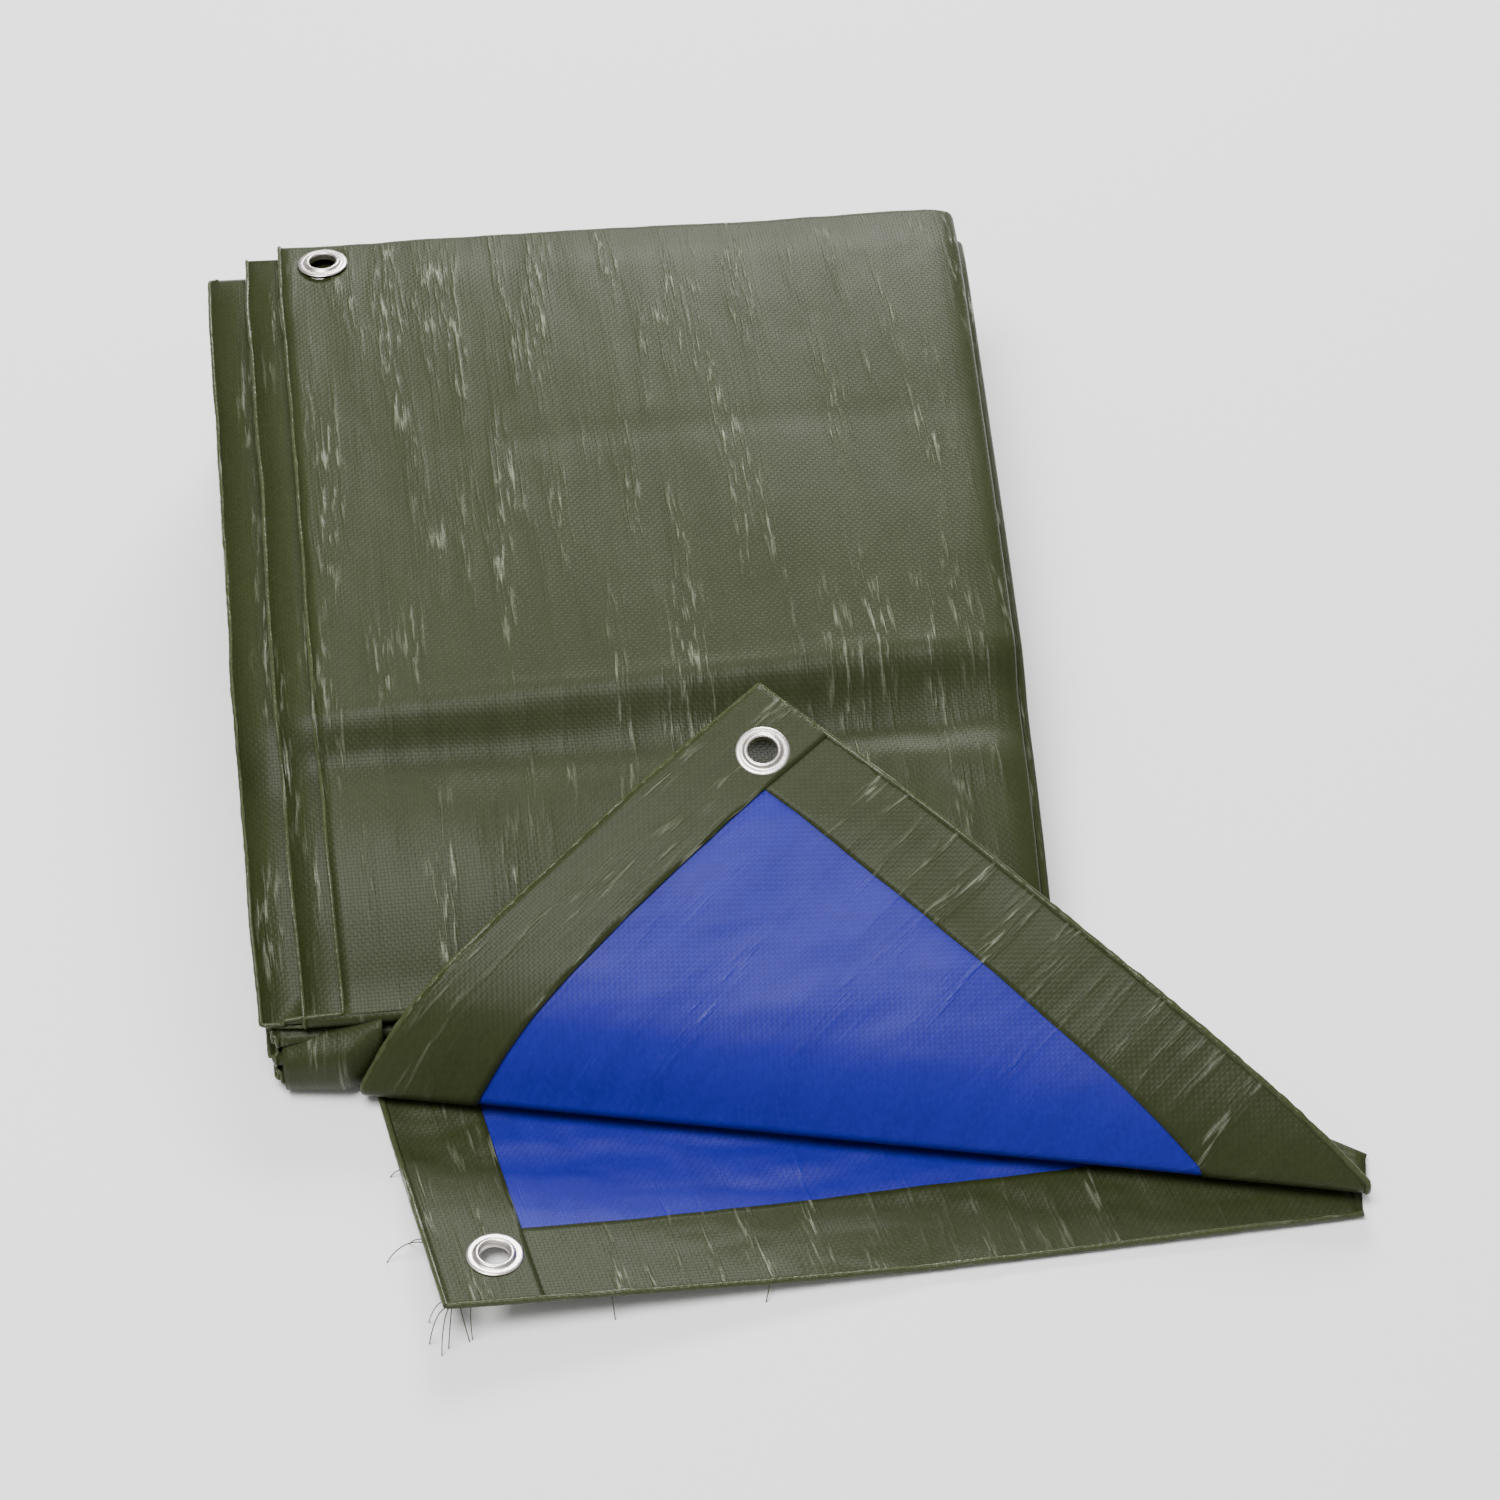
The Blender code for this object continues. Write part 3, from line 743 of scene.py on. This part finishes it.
def build_flap():
    down = np.linspace(0.0, 1.0, FLAP_ROWS + 1)
    shares = np.concatenate([down, np.linspace(1.0, ROLL_END, ROLL_ROWS + 1)[1:]])
    columns = np.linspace(0, 1, FLAP_COLUMNS + 1)
    rows, uvs = [], []
    for share in shares:
        places = [(share * FLAP_RIGHT_EDGE * a, share * FLAP_LEFT_EDGE * (1 - a)) for a in columns]
        rows.append([flap_point(u, v) for u, v in places])
        uvs.append(places)
    ends = [return_points(point) for point in rows[-1]]
    for i in range(RETURN_STEPS + SIDE_STEPS):
        before = rows[-1]
        rows.append([run[i] for run in ends])
        steps = [(here - there).length for here, there in zip(rows[-1], before)]
        uvs.append([(u, v + step) for (u, v), step in zip(uvs[-1], steps)])
    # Under its hem strips, and in the run behind the roll, the cloth itself is green as well.
    edge = np.array(uvs).min(axis=2)
    edge[len(shares):] = edge[len(shares) - 1]
    uv = np.dstack([np.array(uvs), edge])
    points, uv = oriented(np.array([[tuple(p) for p in row] for row in rows]), uv)
    hem_side = uv[:, :, 2] < UNDER_HEM
    return grid_mesh("flap cloth", points, uv[:, :, :2], [BLUE, GREEN, GREEN, GREEN], hem_side=hem_side)


def cut_round(mesh, centre, radius):
    """Leaves out the faces whose middle is within the radius of an eyelet's centre."""
    clean = bmesh.new()
    clean.from_mesh(mesh)
    near = [f for f in clean.faces if (f.calc_center_median() - centre).length < radius]
    bmesh.ops.delete(clean, geom=near, context="FACES")
    clean.to_mesh(mesh)
    clean.free()


flap_mesh = build_flap()
cut_round(flap_mesh, FLAP_EYELET, CUT)
flap_cloth = add_piece("flap_cloth", flap_mesh, ["flap_panel", "flap_hem_strip"])
thicken(flap_cloth, CLOTH, inner_material=1)
print("flap:", len(flap_mesh.polygons), "squares")

# %% [markdown]
# ### Hem strips
#
# The maker folds the hem over to the blue side and welds it. At the corner one hem lies on the
# other, which leaves a short line across the corner. The two strips lie at different heights for
# that line's sake.

# %% Hem strips lie on the blue side, the left one over the right one
UNDER_LIFT, OVER_LIFT = 0.5 * MM, 1.0 * MM
HEM_COLUMNS = 14


def strip_mesh(name, point_at, place, along, lift):
    """A hem strip, lifted off the cloth: place(i, j) gives u and v of its row i and column j."""
    uv = np.array([[place(i, j) for j in range(HEM_COLUMNS + 1)] for i in range(along + 1)])
    points = np.array([[tuple(point_at(float(u), float(v))) for u, v in row] for row in uv])
    points, uv = oriented(points, uv)
    return grid_mesh(name, points + normals_of(points) * lift, uv, [GREEN])


def hem_strip(name, point_at, place, along, lift, eyelet):
    mesh = strip_mesh(name, point_at, place, along, lift)
    cut_round(mesh, eyelet, CUT)
    strip = add_piece(name, mesh)
    thicken(strip, CLOTH)
    return strip


FLAP_RIGHT_ROWS, FLAP_LEFT_ROWS = 130, 100


def build_flap_hems():
    last = ROLL_END + 3 * MM / FLAP_DEPTH  # they go 3 mm past the roll

    def right(i, j):
        v = HEM * j / HEM_COLUMNS
        return mix(0, FLAP_RIGHT_EDGE * (last - v / FLAP_LEFT_EDGE), i / FLAP_RIGHT_ROWS), v

    def left(i, j):
        u = HEM * j / HEM_COLUMNS
        return u, mix(0, FLAP_LEFT_EDGE * (last - u / FLAP_RIGHT_EDGE), i / FLAP_LEFT_ROWS)

    return [
        hem_strip("flap_hem_right", flap_point, right, FLAP_RIGHT_ROWS, UNDER_LIFT, FLAP_EYELET),
        hem_strip("flap_hem_left", flap_point, left, FLAP_LEFT_ROWS, OVER_LIFT, FLAP_EYELET),
    ]


flap_hems = build_flap_hems()
print("flap hems:", [len(strip.data.polygons) for strip in flap_hems])

# %% [markdown]
# ### Short roll
#
# To the left of the bend the same cloth leaves the pack and rolls under. It is a small grid swept
# along a section of seven points, because a plain cylinder would look like a tube.

# %% Short roll at the left of the bend
RollPoint = namedtuple("RollPoint", "y z")
ROLL = [  # its section, in millimetres, with z as a share of its height at the top
    RollPoint(-123, 1.00), RollPoint(-130, 1.00), RollPoint(-137, 0.88), RollPoint(-140.5, 0.62),
    RollPoint(-141, 0.38), RollPoint(-139, 0.16), RollPoint(-135, 0.10),
]
ROLL_LEFT, ROLL_FULL, ROLL_RIGHT = -189, -165, -150
ROLL_LOW, ROLL_HIGH = 21, 32
ROLL_COLUMNS, ROLL_STEPS = 18, 24
ROLL_BACK = -130  # in millimetres; forward of this line the section's bulge varies


def roll_section(at):
    """The section's y, in millimetres, and z share, on a smooth curve through its points."""
    k = min(int(at), len(ROLL) - 2)
    t = at - k
    near = [ROLL[min(max(k + m, 0), len(ROLL) - 1)] for m in (-1, 0, 1, 2)]
    pull = (-t + 2 * t**2 - t**3, 2 - 5 * t**2 + 3 * t**3, t + 4 * t**2 - 3 * t**3, t**3 - t**2)
    return tuple(sum(a * value for a, value in zip(pull, column)) / 2 for column in zip(*near))


def build_front_roll():
    """Cloth that leaves the pack and rolls under where the flap begins."""
    rows, uvs = [], []
    for i in range(ROLL_COLUMNS + 1):
        share = i / ROLL_COLUMNS
        x = mix(ROLL_LEFT, ROLL_RIGHT, share)
        tall = mix(ROLL_LOW, ROLL_HIGH, share)
        out = mix(0.7, 1.0, (x - ROLL_LEFT) / (ROLL_FULL - ROLL_LEFT))
        if x > ROLL_FULL:
            out = mix(1.0, 0.3, (x - ROLL_FULL) / (ROLL_RIGHT - ROLL_FULL))
        row, uv, run = [], [], 0.0
        for j in range(ROLL_STEPS + 1):
            y, rise = roll_section(j / ROLL_STEPS * (len(ROLL) - 1))
            z = rise * tall
            y = ROLL_BACK + (y - ROLL_BACK) * (out if y < ROLL_BACK else 1)
            z += 0.5 * wave(x * MM, z * MM, 0.012, 8)
            point = Vector((x, y, z)) * MM
            run += (point - row[-1]).length if row else 0.0
            row.append(point)
            uv.append((x * MM - ROLL_LEFT * MM, run))
        rows.append([tuple(point) for point in row])
        uvs.append(uv)
    points, uv = np.array(rows), np.array(uvs)
    if normals_of(points)[:, 10, 1].mean() > 0:
        points, uv = points[:, ::-1], uv[:, ::-1]
    roll = add_piece("front_roll", grid_mesh("front_roll", points, uv, [GREEN]))
    thicken(roll, CLOTH)
    return roll, ((ROLL_RIGHT - ROLL_LEFT) * MM, float(uv[:, :, 1].max()))


front_roll, ROLL_FLAT = build_front_roll()
print("roll:", [round(side, 3) for side in ROLL_FLAT], "m of cloth")

# %% [markdown]
# ## The lower sheet
#
# The lower ply runs out flat on the ground from under the pack, and its corner springs up. It is
# drawn from its front edge back to the pack and to the fold at its right side.

# %% Lower sheet
def sheet_place(point):
    """The cloth's own u and v of a place on the ground."""
    offset = point - SHEET_CORNER
    turn = SHEET_FRONT.x * SHEET_BACK.y - SHEET_FRONT.y * SHEET_BACK.x
    u = (offset.x * SHEET_BACK.y - offset.y * SHEET_BACK.x) / turn
    v = (SHEET_FRONT.x * offset.y - SHEET_FRONT.y * offset.x) / turn
    return u, v


def sheet_back_end(share):
    """The far end of the sheet: along the pack's front, then along the fold at its right."""
    corner = Vector((PACK_RIGHT, PACK_FRONT, 0))
    start = Vector((SHEET_INNER.x, PACK_FRONT, 0))
    legs = [(start, corner), (corner, HIDDEN_TIP)]
    lengths = [(b - a).length for a, b in legs]
    reach = share * sum(lengths)
    if reach <= lengths[0]:
        return start.lerp(corner, reach / lengths[0])
    return corner.lerp(HIDDEN_TIP, (reach - lengths[0]) / lengths[1])


SHEET_ROWS, SHEET_COLUMNS = 130, 44


def build_sheet():
    rows, uvs = [], []
    for i in range(SHEET_ROWS + 1):
        share = i / SHEET_ROWS
        near = SHEET_CORNER.lerp(SHEET_TIP, share)
        far = sheet_back_end(share)
        places = [sheet_place(near.lerp(far, j / SHEET_COLUMNS)) for j in range(SHEET_COLUMNS + 1)]
        rows.append([tuple(sheet_point(u, v)) for u, v in places])
        uvs.append(places)
    points, uv = oriented(np.array(rows), np.array(uvs))
    hem_side = uv.min(axis=2) < UNDER_HEM
    mesh = grid_mesh("sheet cloth", points, uv, [BLUE, GREEN, GREEN, GREEN], hem_side=hem_side)
    cut_round(mesh, SHEET_EYELET, CUT)
    sheet = add_piece("sheet_cloth", mesh, ["sheet_panel", "sheet_hem_strip"])
    thicken(sheet, CLOTH, inner_material=1)
    return sheet


SHEET_FRONT_ROWS, SHEET_LEFT_ROWS = 140, 50


def build_sheet_hems():
    def front(i, j):
        return mix(0, SHEET_LENGTH - 1 * MM, i / SHEET_FRONT_ROWS), HEM * j / HEM_COLUMNS

    def left(i, j):
        return HEM * j / HEM_COLUMNS, mix(0, SHEET_DEPTH, i / SHEET_LEFT_ROWS)

    return [
        hem_strip("sheet_hem_front", sheet_point, front, SHEET_FRONT_ROWS, UNDER_LIFT, SHEET_EYELET),
        hem_strip("sheet_hem_left", sheet_point, left, SHEET_LEFT_ROWS, OVER_LIFT, SHEET_EYELET),
    ]


sheet_cloth = build_sheet()
sheet_hems = build_sheet_hems()
print("sheet:", len(sheet_cloth.data.polygons), "squares, edge", round(SHEET_LENGTH, 3), "m")

# %% [markdown]
# ## Cord in the hems, and loose threads
#
# Each hem is turned over a cord, which shows as a bead along the edge. One node group makes a
# round cord along any path, so beads and threads share it. A bevelled curve would do for one of
# them, but the group also pinches the bead unevenly, as the film puckers over the cord.

# %% A node group that lays a cord along a path
def cord_group():
    tree = bpy.data.node_groups.new("cord along a path", "GeometryNodeTree")
    for label, kind, value in (
        ("Geometry", "NodeSocketGeometry", None), ("Radius", FLOAT, HEM_CORD),
        ("Pucker", FLOAT, 0.3), ("Pucker size", FLOAT, 4 * MM), ("Spacing", FLOAT, 1.5 * MM),
        ("Material", "NodeSocketMaterial", None),
    ):
        socket = tree.interface.new_socket(label, in_out="INPUT", socket_type=kind)
        if value is not None:
            socket.default_value = value
    tree.interface.new_socket("Geometry", in_out="OUTPUT", socket_type="NodeSocketGeometry")
    n = Nodes(tree)
    given, result = n.add("NodeGroupInput"), n.add("NodeGroupOutput")
    give = given.outputs
    path = n.add("GeometryNodeMeshToCurve", {"Mesh": give["Geometry"]})
    even = n.add(
        "GeometryNodeResampleCurve", {"Curve": path.outputs[0], "Length": give["Spacing"]}, mode="LENGTH"
    )
    where = n.add("GeometryNodeInputPosition").outputs[0]
    lumps = n.add("ShaderNodeTexNoise", {"Vector": where, "Detail": 2.0})
    n.feed(lumps.inputs["Scale"], n.math("DIVIDE", 1, give["Pucker size"]))
    swing = n.math("MULTIPLY", n.math("SUBTRACT", lumps.outputs["Fac"], 0.5), give["Pucker"])
    size = n.math("MULTIPLY", give["Radius"], n.math("ADD", 1, n.math("MULTIPLY", swing, 3)))
    ring = n.add("GeometryNodeCurvePrimitiveCircle", {"Resolution": 8})
    ring.inputs["Radius"].default_value = 1.0
    length = n.add("GeometryNodeCaptureAttribute", {"Geometry": even.outputs[0]})
    length.capture_items.new("FLOAT", "length")
    n.feed(length.inputs["length"], n.add("GeometryNodeSplineParameter").outputs["Length"])
    turn = n.add("GeometryNodeCaptureAttribute", {"Geometry": ring.outputs[0]})
    turn.capture_items.new("FLOAT", "turn")
    n.feed(turn.inputs["turn"], n.add("GeometryNodeSplineParameter").outputs["Factor"])
    solid = n.add(
        "GeometryNodeCurveToMesh",
        {"Curve": length.outputs[0], "Profile Curve": turn.outputs[0], "Scale": size, "Fill Caps": True},
    )
    place = n.add("ShaderNodeCombineXYZ")
    n.feed(place.inputs["Y"], length.outputs["length"])
    n.feed(place.inputs["X"], n.math("MULTIPLY", turn.outputs["turn"], 0.008))
    store = n.add(
        "GeometryNodeStoreNamedAttribute",
        {"Geometry": solid.outputs[0], "Name": "cloth", "Value": place.outputs[0]},
        data_type="FLOAT2",
        domain="CORNER",
    )
    smooth = n.add("GeometryNodeSetShadeSmooth", {0: store.outputs[0]})
    real = n.add("GeometryNodeRealizeInstances", {0: smooth.outputs[0]})
    coat = n.add("GeometryNodeSetMaterial", {0: real.outputs[0], "Material": give["Material"]})
    n.feed(result.inputs[0], coat.outputs[0])
    return tree


CORD = cord_group()


def lay_cord(name, paths, slot, material, **inputs):
    """Turns lists of points into one piece made of round cords."""
    points, edges = [], []
    for path in paths:
        first = len(points)
        points += [tuple(Vector(p) - SHIFT) for p in path]
        edges += [(i, i + 1) for i in range(first, len(points) - 1)]
    mesh = bpy.data.meshes.new(name + " path")
    mesh.from_pydata(points, edges, [])
    source = bpy.data.objects.new(name + " path", mesh)
    bpy.context.scene.collection.objects.link(source)
    nodes = source.modifiers.new("cord", "NODES")
    nodes.node_group = CORD
    sockets = [item for item in CORD.interface.items_tree if item.in_out == "INPUT"]
    names = {item.name: item.identifier for item in sockets}
    nodes[names["Material"]] = material
    for label, value in inputs.items():
        nodes[names[label.replace("_", " ")]] = value
    depsgraph = bpy.context.evaluated_depsgraph_get()
    made = bpy.data.meshes.new_from_object(source.evaluated_get(depsgraph), depsgraph=depsgraph)
    made.name = name
    bpy.data.objects.remove(source)
    print(name, "has", len(made.polygons), "faces")
    return add_piece(name, made)


# %% [markdown]
# ### Beads
#
# The flap and the lower sheet have a bead along both of their edges. The pack's two long ones
# follow the whole route of the strip, so every layer shows one at its left edge.

# %% Beads along the edges
def edge_path(point_at, places, lift=0.0):
    return [point_at(float(u), float(v)) + UP * lift for u, v in places]


BEAD_REST = 1.4 * MM      # a bead's middle stays this far above the ground
lay_cord(
    "flap_bead",
    [
        edge_path(flap_point, [(s, 0.0) for s in np.linspace(0, FLAP_RIGHT_EDGE * ROLL_END, 160)]),
        edge_path(flap_point, [(0.0, s) for s in np.linspace(0, FLAP_LEFT_EDGE * ROLL_END, 120)]),
    ],
    "green_cloth",
    BEAD,
)
lay_cord(
    "sheet_bead",
    [
        edge_path(sheet_point, [(s, 0.0) for s in np.linspace(0, SHEET_LENGTH, 160)], BEAD_REST),
        edge_path(sheet_point, [(0.0, s) for s in np.linspace(0, SHEET_DEPTH, 60)], BEAD_REST),
    ],
    "green_cloth",
    BEAD,
    Pucker=0.15,
)
pack_edges = [pack_points[:, 0] + np.array(UP) * 0.2 * MM, pack_points[:, -1].copy()]
for path in pack_edges:
    path[:, 2] = np.maximum(path[:, 2], BEAD_REST)
lay_cord("pack_bead", pack_edges, "green_cloth", BEAD, Radius=0.9 * MM)

# %% [markdown]
# ### Loose threads
#
# Cut tapes fray at the corner. Each thread starts on the sheet, curls a little and falls to the
# ground. The same node group draws them, with a much smaller radius.

# %% Loose threads at the lower corner
Thread = namedtuple("Thread", "u v angle length curl")
THREADS = [  # frayed tapes: where they leave the cloth, which way, and how far
    Thread(0, 0, 200, 9, 25), Thread(2, 0, 262, 8, -20), Thread(1, 0, 240, 11, 15),
    Thread(0, 3, 186, 7, -30), Thread(5, 0, 275, 6, 30), Thread(9, 0, 250, 5, 20),
    Thread(0, 32, 150, 16, 60), Thread(0, 34, 165, 8, -40), Thread(60, 0, 268, 4, 20),
    Thread(118, 0, 262, 5, -25), Thread(0, 70, 175, 5, 20),
]
THREAD_REST = 0.25 * MM   # a thread's middle where it lies on the ground


def thread_path(thread, steps=14):
    start = sheet_point(thread.u * MM, thread.v * MM) + UP * 0.4 * MM
    points, here = [start], start.copy()
    for i in range(steps):
        share = (i + 1) / steps
        angle = math.radians(thread.angle + thread.curl * share)
        here = here + Vector((math.cos(angle), math.sin(angle), 0)) * thread.length * MM / steps
        here.z = max(THREAD_REST, mix(start.z, THREAD_REST, share * share))
        points.append(here.copy())
    return points


lay_cord(
    "loose_threads", [thread_path(thread) for thread in THREADS], "green_cloth", BEAD,
    Radius=0.22 * MM, Pucker=0.1, Spacing=0.6 * MM,
)

# %% [markdown]
# ## Eyelets
#
# An eyelet is two pressed rings: the upper one has a neck that is rolled over. Here both are one
# turned profile. The neck is raised and round, because that roll is what gives the bright double
# ring. The flange is pressed a little unevenly.

# %% Three turned rings
RingPoint = namedtuple("RingPoint", "radius height")


def ring_profile(above, below):
    """The closed profile of a ring that clasps cloth from below to above its middle plane."""
    return [RingPoint(r * MM, z) for r, z in (
        (5.75, below - 0.3 * MM), (5.75, above + 0.9 * MM), (5.95, above + 1.35 * MM),
        (6.45, above + 1.62 * MM), (7.05, above + 1.55 * MM), (7.5, above + 1.2 * MM),
        (7.75, above + 0.8 * MM), (8.1, above + 0.55 * MM), (8.8, above + 0.62 * MM),
        (9.6, above + 0.66 * MM), (10.3, above + 0.5 * MM), (10.7, above + 0.22 * MM),
        (10.75, above + 0.02 * MM), (10.5, above), (6.6, above), (6.5, above - 0.05 * MM),
        (6.5, below + 0.05 * MM), (6.6, below), (10.1, below), (10.4, below - 0.2 * MM),
        (10.2, below - 0.5 * MM), (8.4, below - 0.62 * MM), (6.4, below - 0.6 * MM),
        (5.9, below - 0.5 * MM),
    )]


def build_eyelet(name, centre, normal, above, below, seed, replaces):
    profile, sides = ring_profile(above, below), 72
    turned = UP.rotation_difference(normal).to_matrix()
    points, faces = [], []
    for n in range(sides):
        turn = math.tau * n / sides
        for radius, height in profile:
            x, y = radius * math.cos(turn), radius * math.sin(turn)
            outer = max(0.0, radius - 7 * MM) / (4 * MM)
            press = 0.16 * MM * outer * noise.noise(Vector((x, y, 0)) * 180 + Vector((seed, 0, 0)))
            points.append(centre + turned @ Vector((x, y, height + press)))
    across = len(profile)
    for n in range(sides):
        here, following = n * across, (n + 1) % sides * across
        for m in range(across):
            k = (m + 1) % across
            faces.append((here + m, here + k, following + k, following + m))
    mesh = bpy.data.meshes.new(name)
    mesh.from_pydata([tuple(point) for point in points], [], faces)
    mesh.materials.append(METAL)
    clean = bmesh.new()
    clean.from_mesh(mesh)
    bmesh.ops.recalc_face_normals(clean, faces=clean.faces)
    clean.to_mesh(mesh)
    clean.free()
    mesh.shade_smooth()
    return add_piece(name, mesh, [replaces])


def tilt(point_at, u, v):
    step = 4 * MM
    normal = (point_at(u + step, v) - point_at(u - step, v)).cross(
        point_at(u, v + step) - point_at(u, v - step)
    ).normalized()
    return normal if normal.z > 0 else -normal


slope = (top_curve(PACK_EYELET_Y / MM + 4) - top_curve(PACK_EYELET_Y / MM - 4)) / 8
eyelets = [
    build_eyelet("pack_eyelet", PACK_EYELET, Vector((0, -slope, 1)).normalized(),
                 0.9 * MM, -0.3 * MM, 1.0, "eyelet_pack"),
    build_eyelet("flap_eyelet", FLAP_EYELET, tilt(flap_point, EYELET_INSET, EYELET_INSET),
                 OVER_LIFT + 0.25 * MM, -0.3 * MM, 2.0, "eyelet_flap"),
    build_eyelet("sheet_eyelet", SHEET_EYELET, tilt(sheet_point, EYELET_INSET, EYELET_INSET),
                 OVER_LIFT + 0.25 * MM, -0.3 * MM, 3.0, "eyelet_sheet"),
]
print("eyelets:", [tuple(round(s, 3) for s in thing.bound_box[0]) for thing in eyelets])

# %% [markdown]
# ## Floor, light and camera
#
# The floor is nearly white. A soft light from behind draws streaks on the film and leaves the
# slope below the ridge dark, and a second one overhead fills the rest. Small bright lights would
# make hard spots, so both are large.

# %% Floor, lights and camera
def area_light(name, place, aim, size, power):
    light = bpy.data.lights.new(name, "AREA")
    light.shape = "RECTANGLE"
    light.size, light.size_y = size
    light.energy = power
    thing = bpy.data.objects.new(name, light)
    thing.location = place
    thing.rotation_euler = (Vector(aim) - Vector(place)).to_track_quat("-Z", "Y").to_euler()
    bpy.context.scene.collection.objects.link(thing)
    return thing


FLOOR = bpy.data.materials.new("white floor")
FLOOR.use_nodes = True
shader = FLOOR.node_tree.nodes["Principled BSDF"]
shader.inputs["Base Color"].default_value = (0.93, 0.93, 0.93, 1)
shader.inputs["Roughness"].default_value = 0.9
floor_mesh = bpy.data.meshes.new("floor")
REACH = 15                # metres of floor on every side, so that its edge never shows
corners = [(-REACH, -REACH, 0), (REACH, -REACH, 0), (REACH, REACH, 0), (-REACH, REACH, 0)]
floor_mesh.from_pydata(corners, [], [(0, 1, 2, 3)])
floor_mesh.materials.append(FLOOR)
floor = bpy.data.objects.new("floor", floor_mesh)
bpy.context.scene.collection.objects.link(floor)

world = bpy.data.worlds.new("white room")
bpy.context.scene.world = world
world.use_nodes = True
world.node_tree.nodes["Background"].inputs["Color"].default_value = (1, 1, 1, 1)
world.node_tree.nodes["Background"].inputs["Strength"].default_value = 0.4

area_light("back softbox", (0.35, 2.0, 1.35), (0, 0.05, 0.05), (1.0, 0.6), 66)
area_light("overhead fill", (-0.5, -0.3, 2.3), (0, 0, 0), (1.2, 1.2), 92)

VIEW_DROP, VIEW_TURN, VIEW_AWAY = math.radians(50), math.radians(5.1), 1.28
level_view = Vector((math.sin(VIEW_TURN), math.cos(VIEW_TURN), 0))
forward = level_view * math.cos(VIEW_DROP) - UP * math.sin(VIEW_DROP)
aim = Vector((0, -0.021, 0.05)) - SHIFT
camera_data = bpy.data.cameras.new("camera")
camera_data.lens = 76.8
camera_data.sensor_width = 36
camera = bpy.data.objects.new("camera", camera_data)
right = Vector((math.cos(VIEW_TURN), -math.sin(VIEW_TURN), 0))
facing = Matrix((right, right.cross(forward), -forward)).transposed()
camera.matrix_world = Matrix.Translation(aim - forward * VIEW_AWAY) @ facing.to_4x4()
bpy.context.scene.collection.objects.link(camera)
bpy.context.scene.camera = camera
print("camera at", [round(c, 3) for c in camera.location])
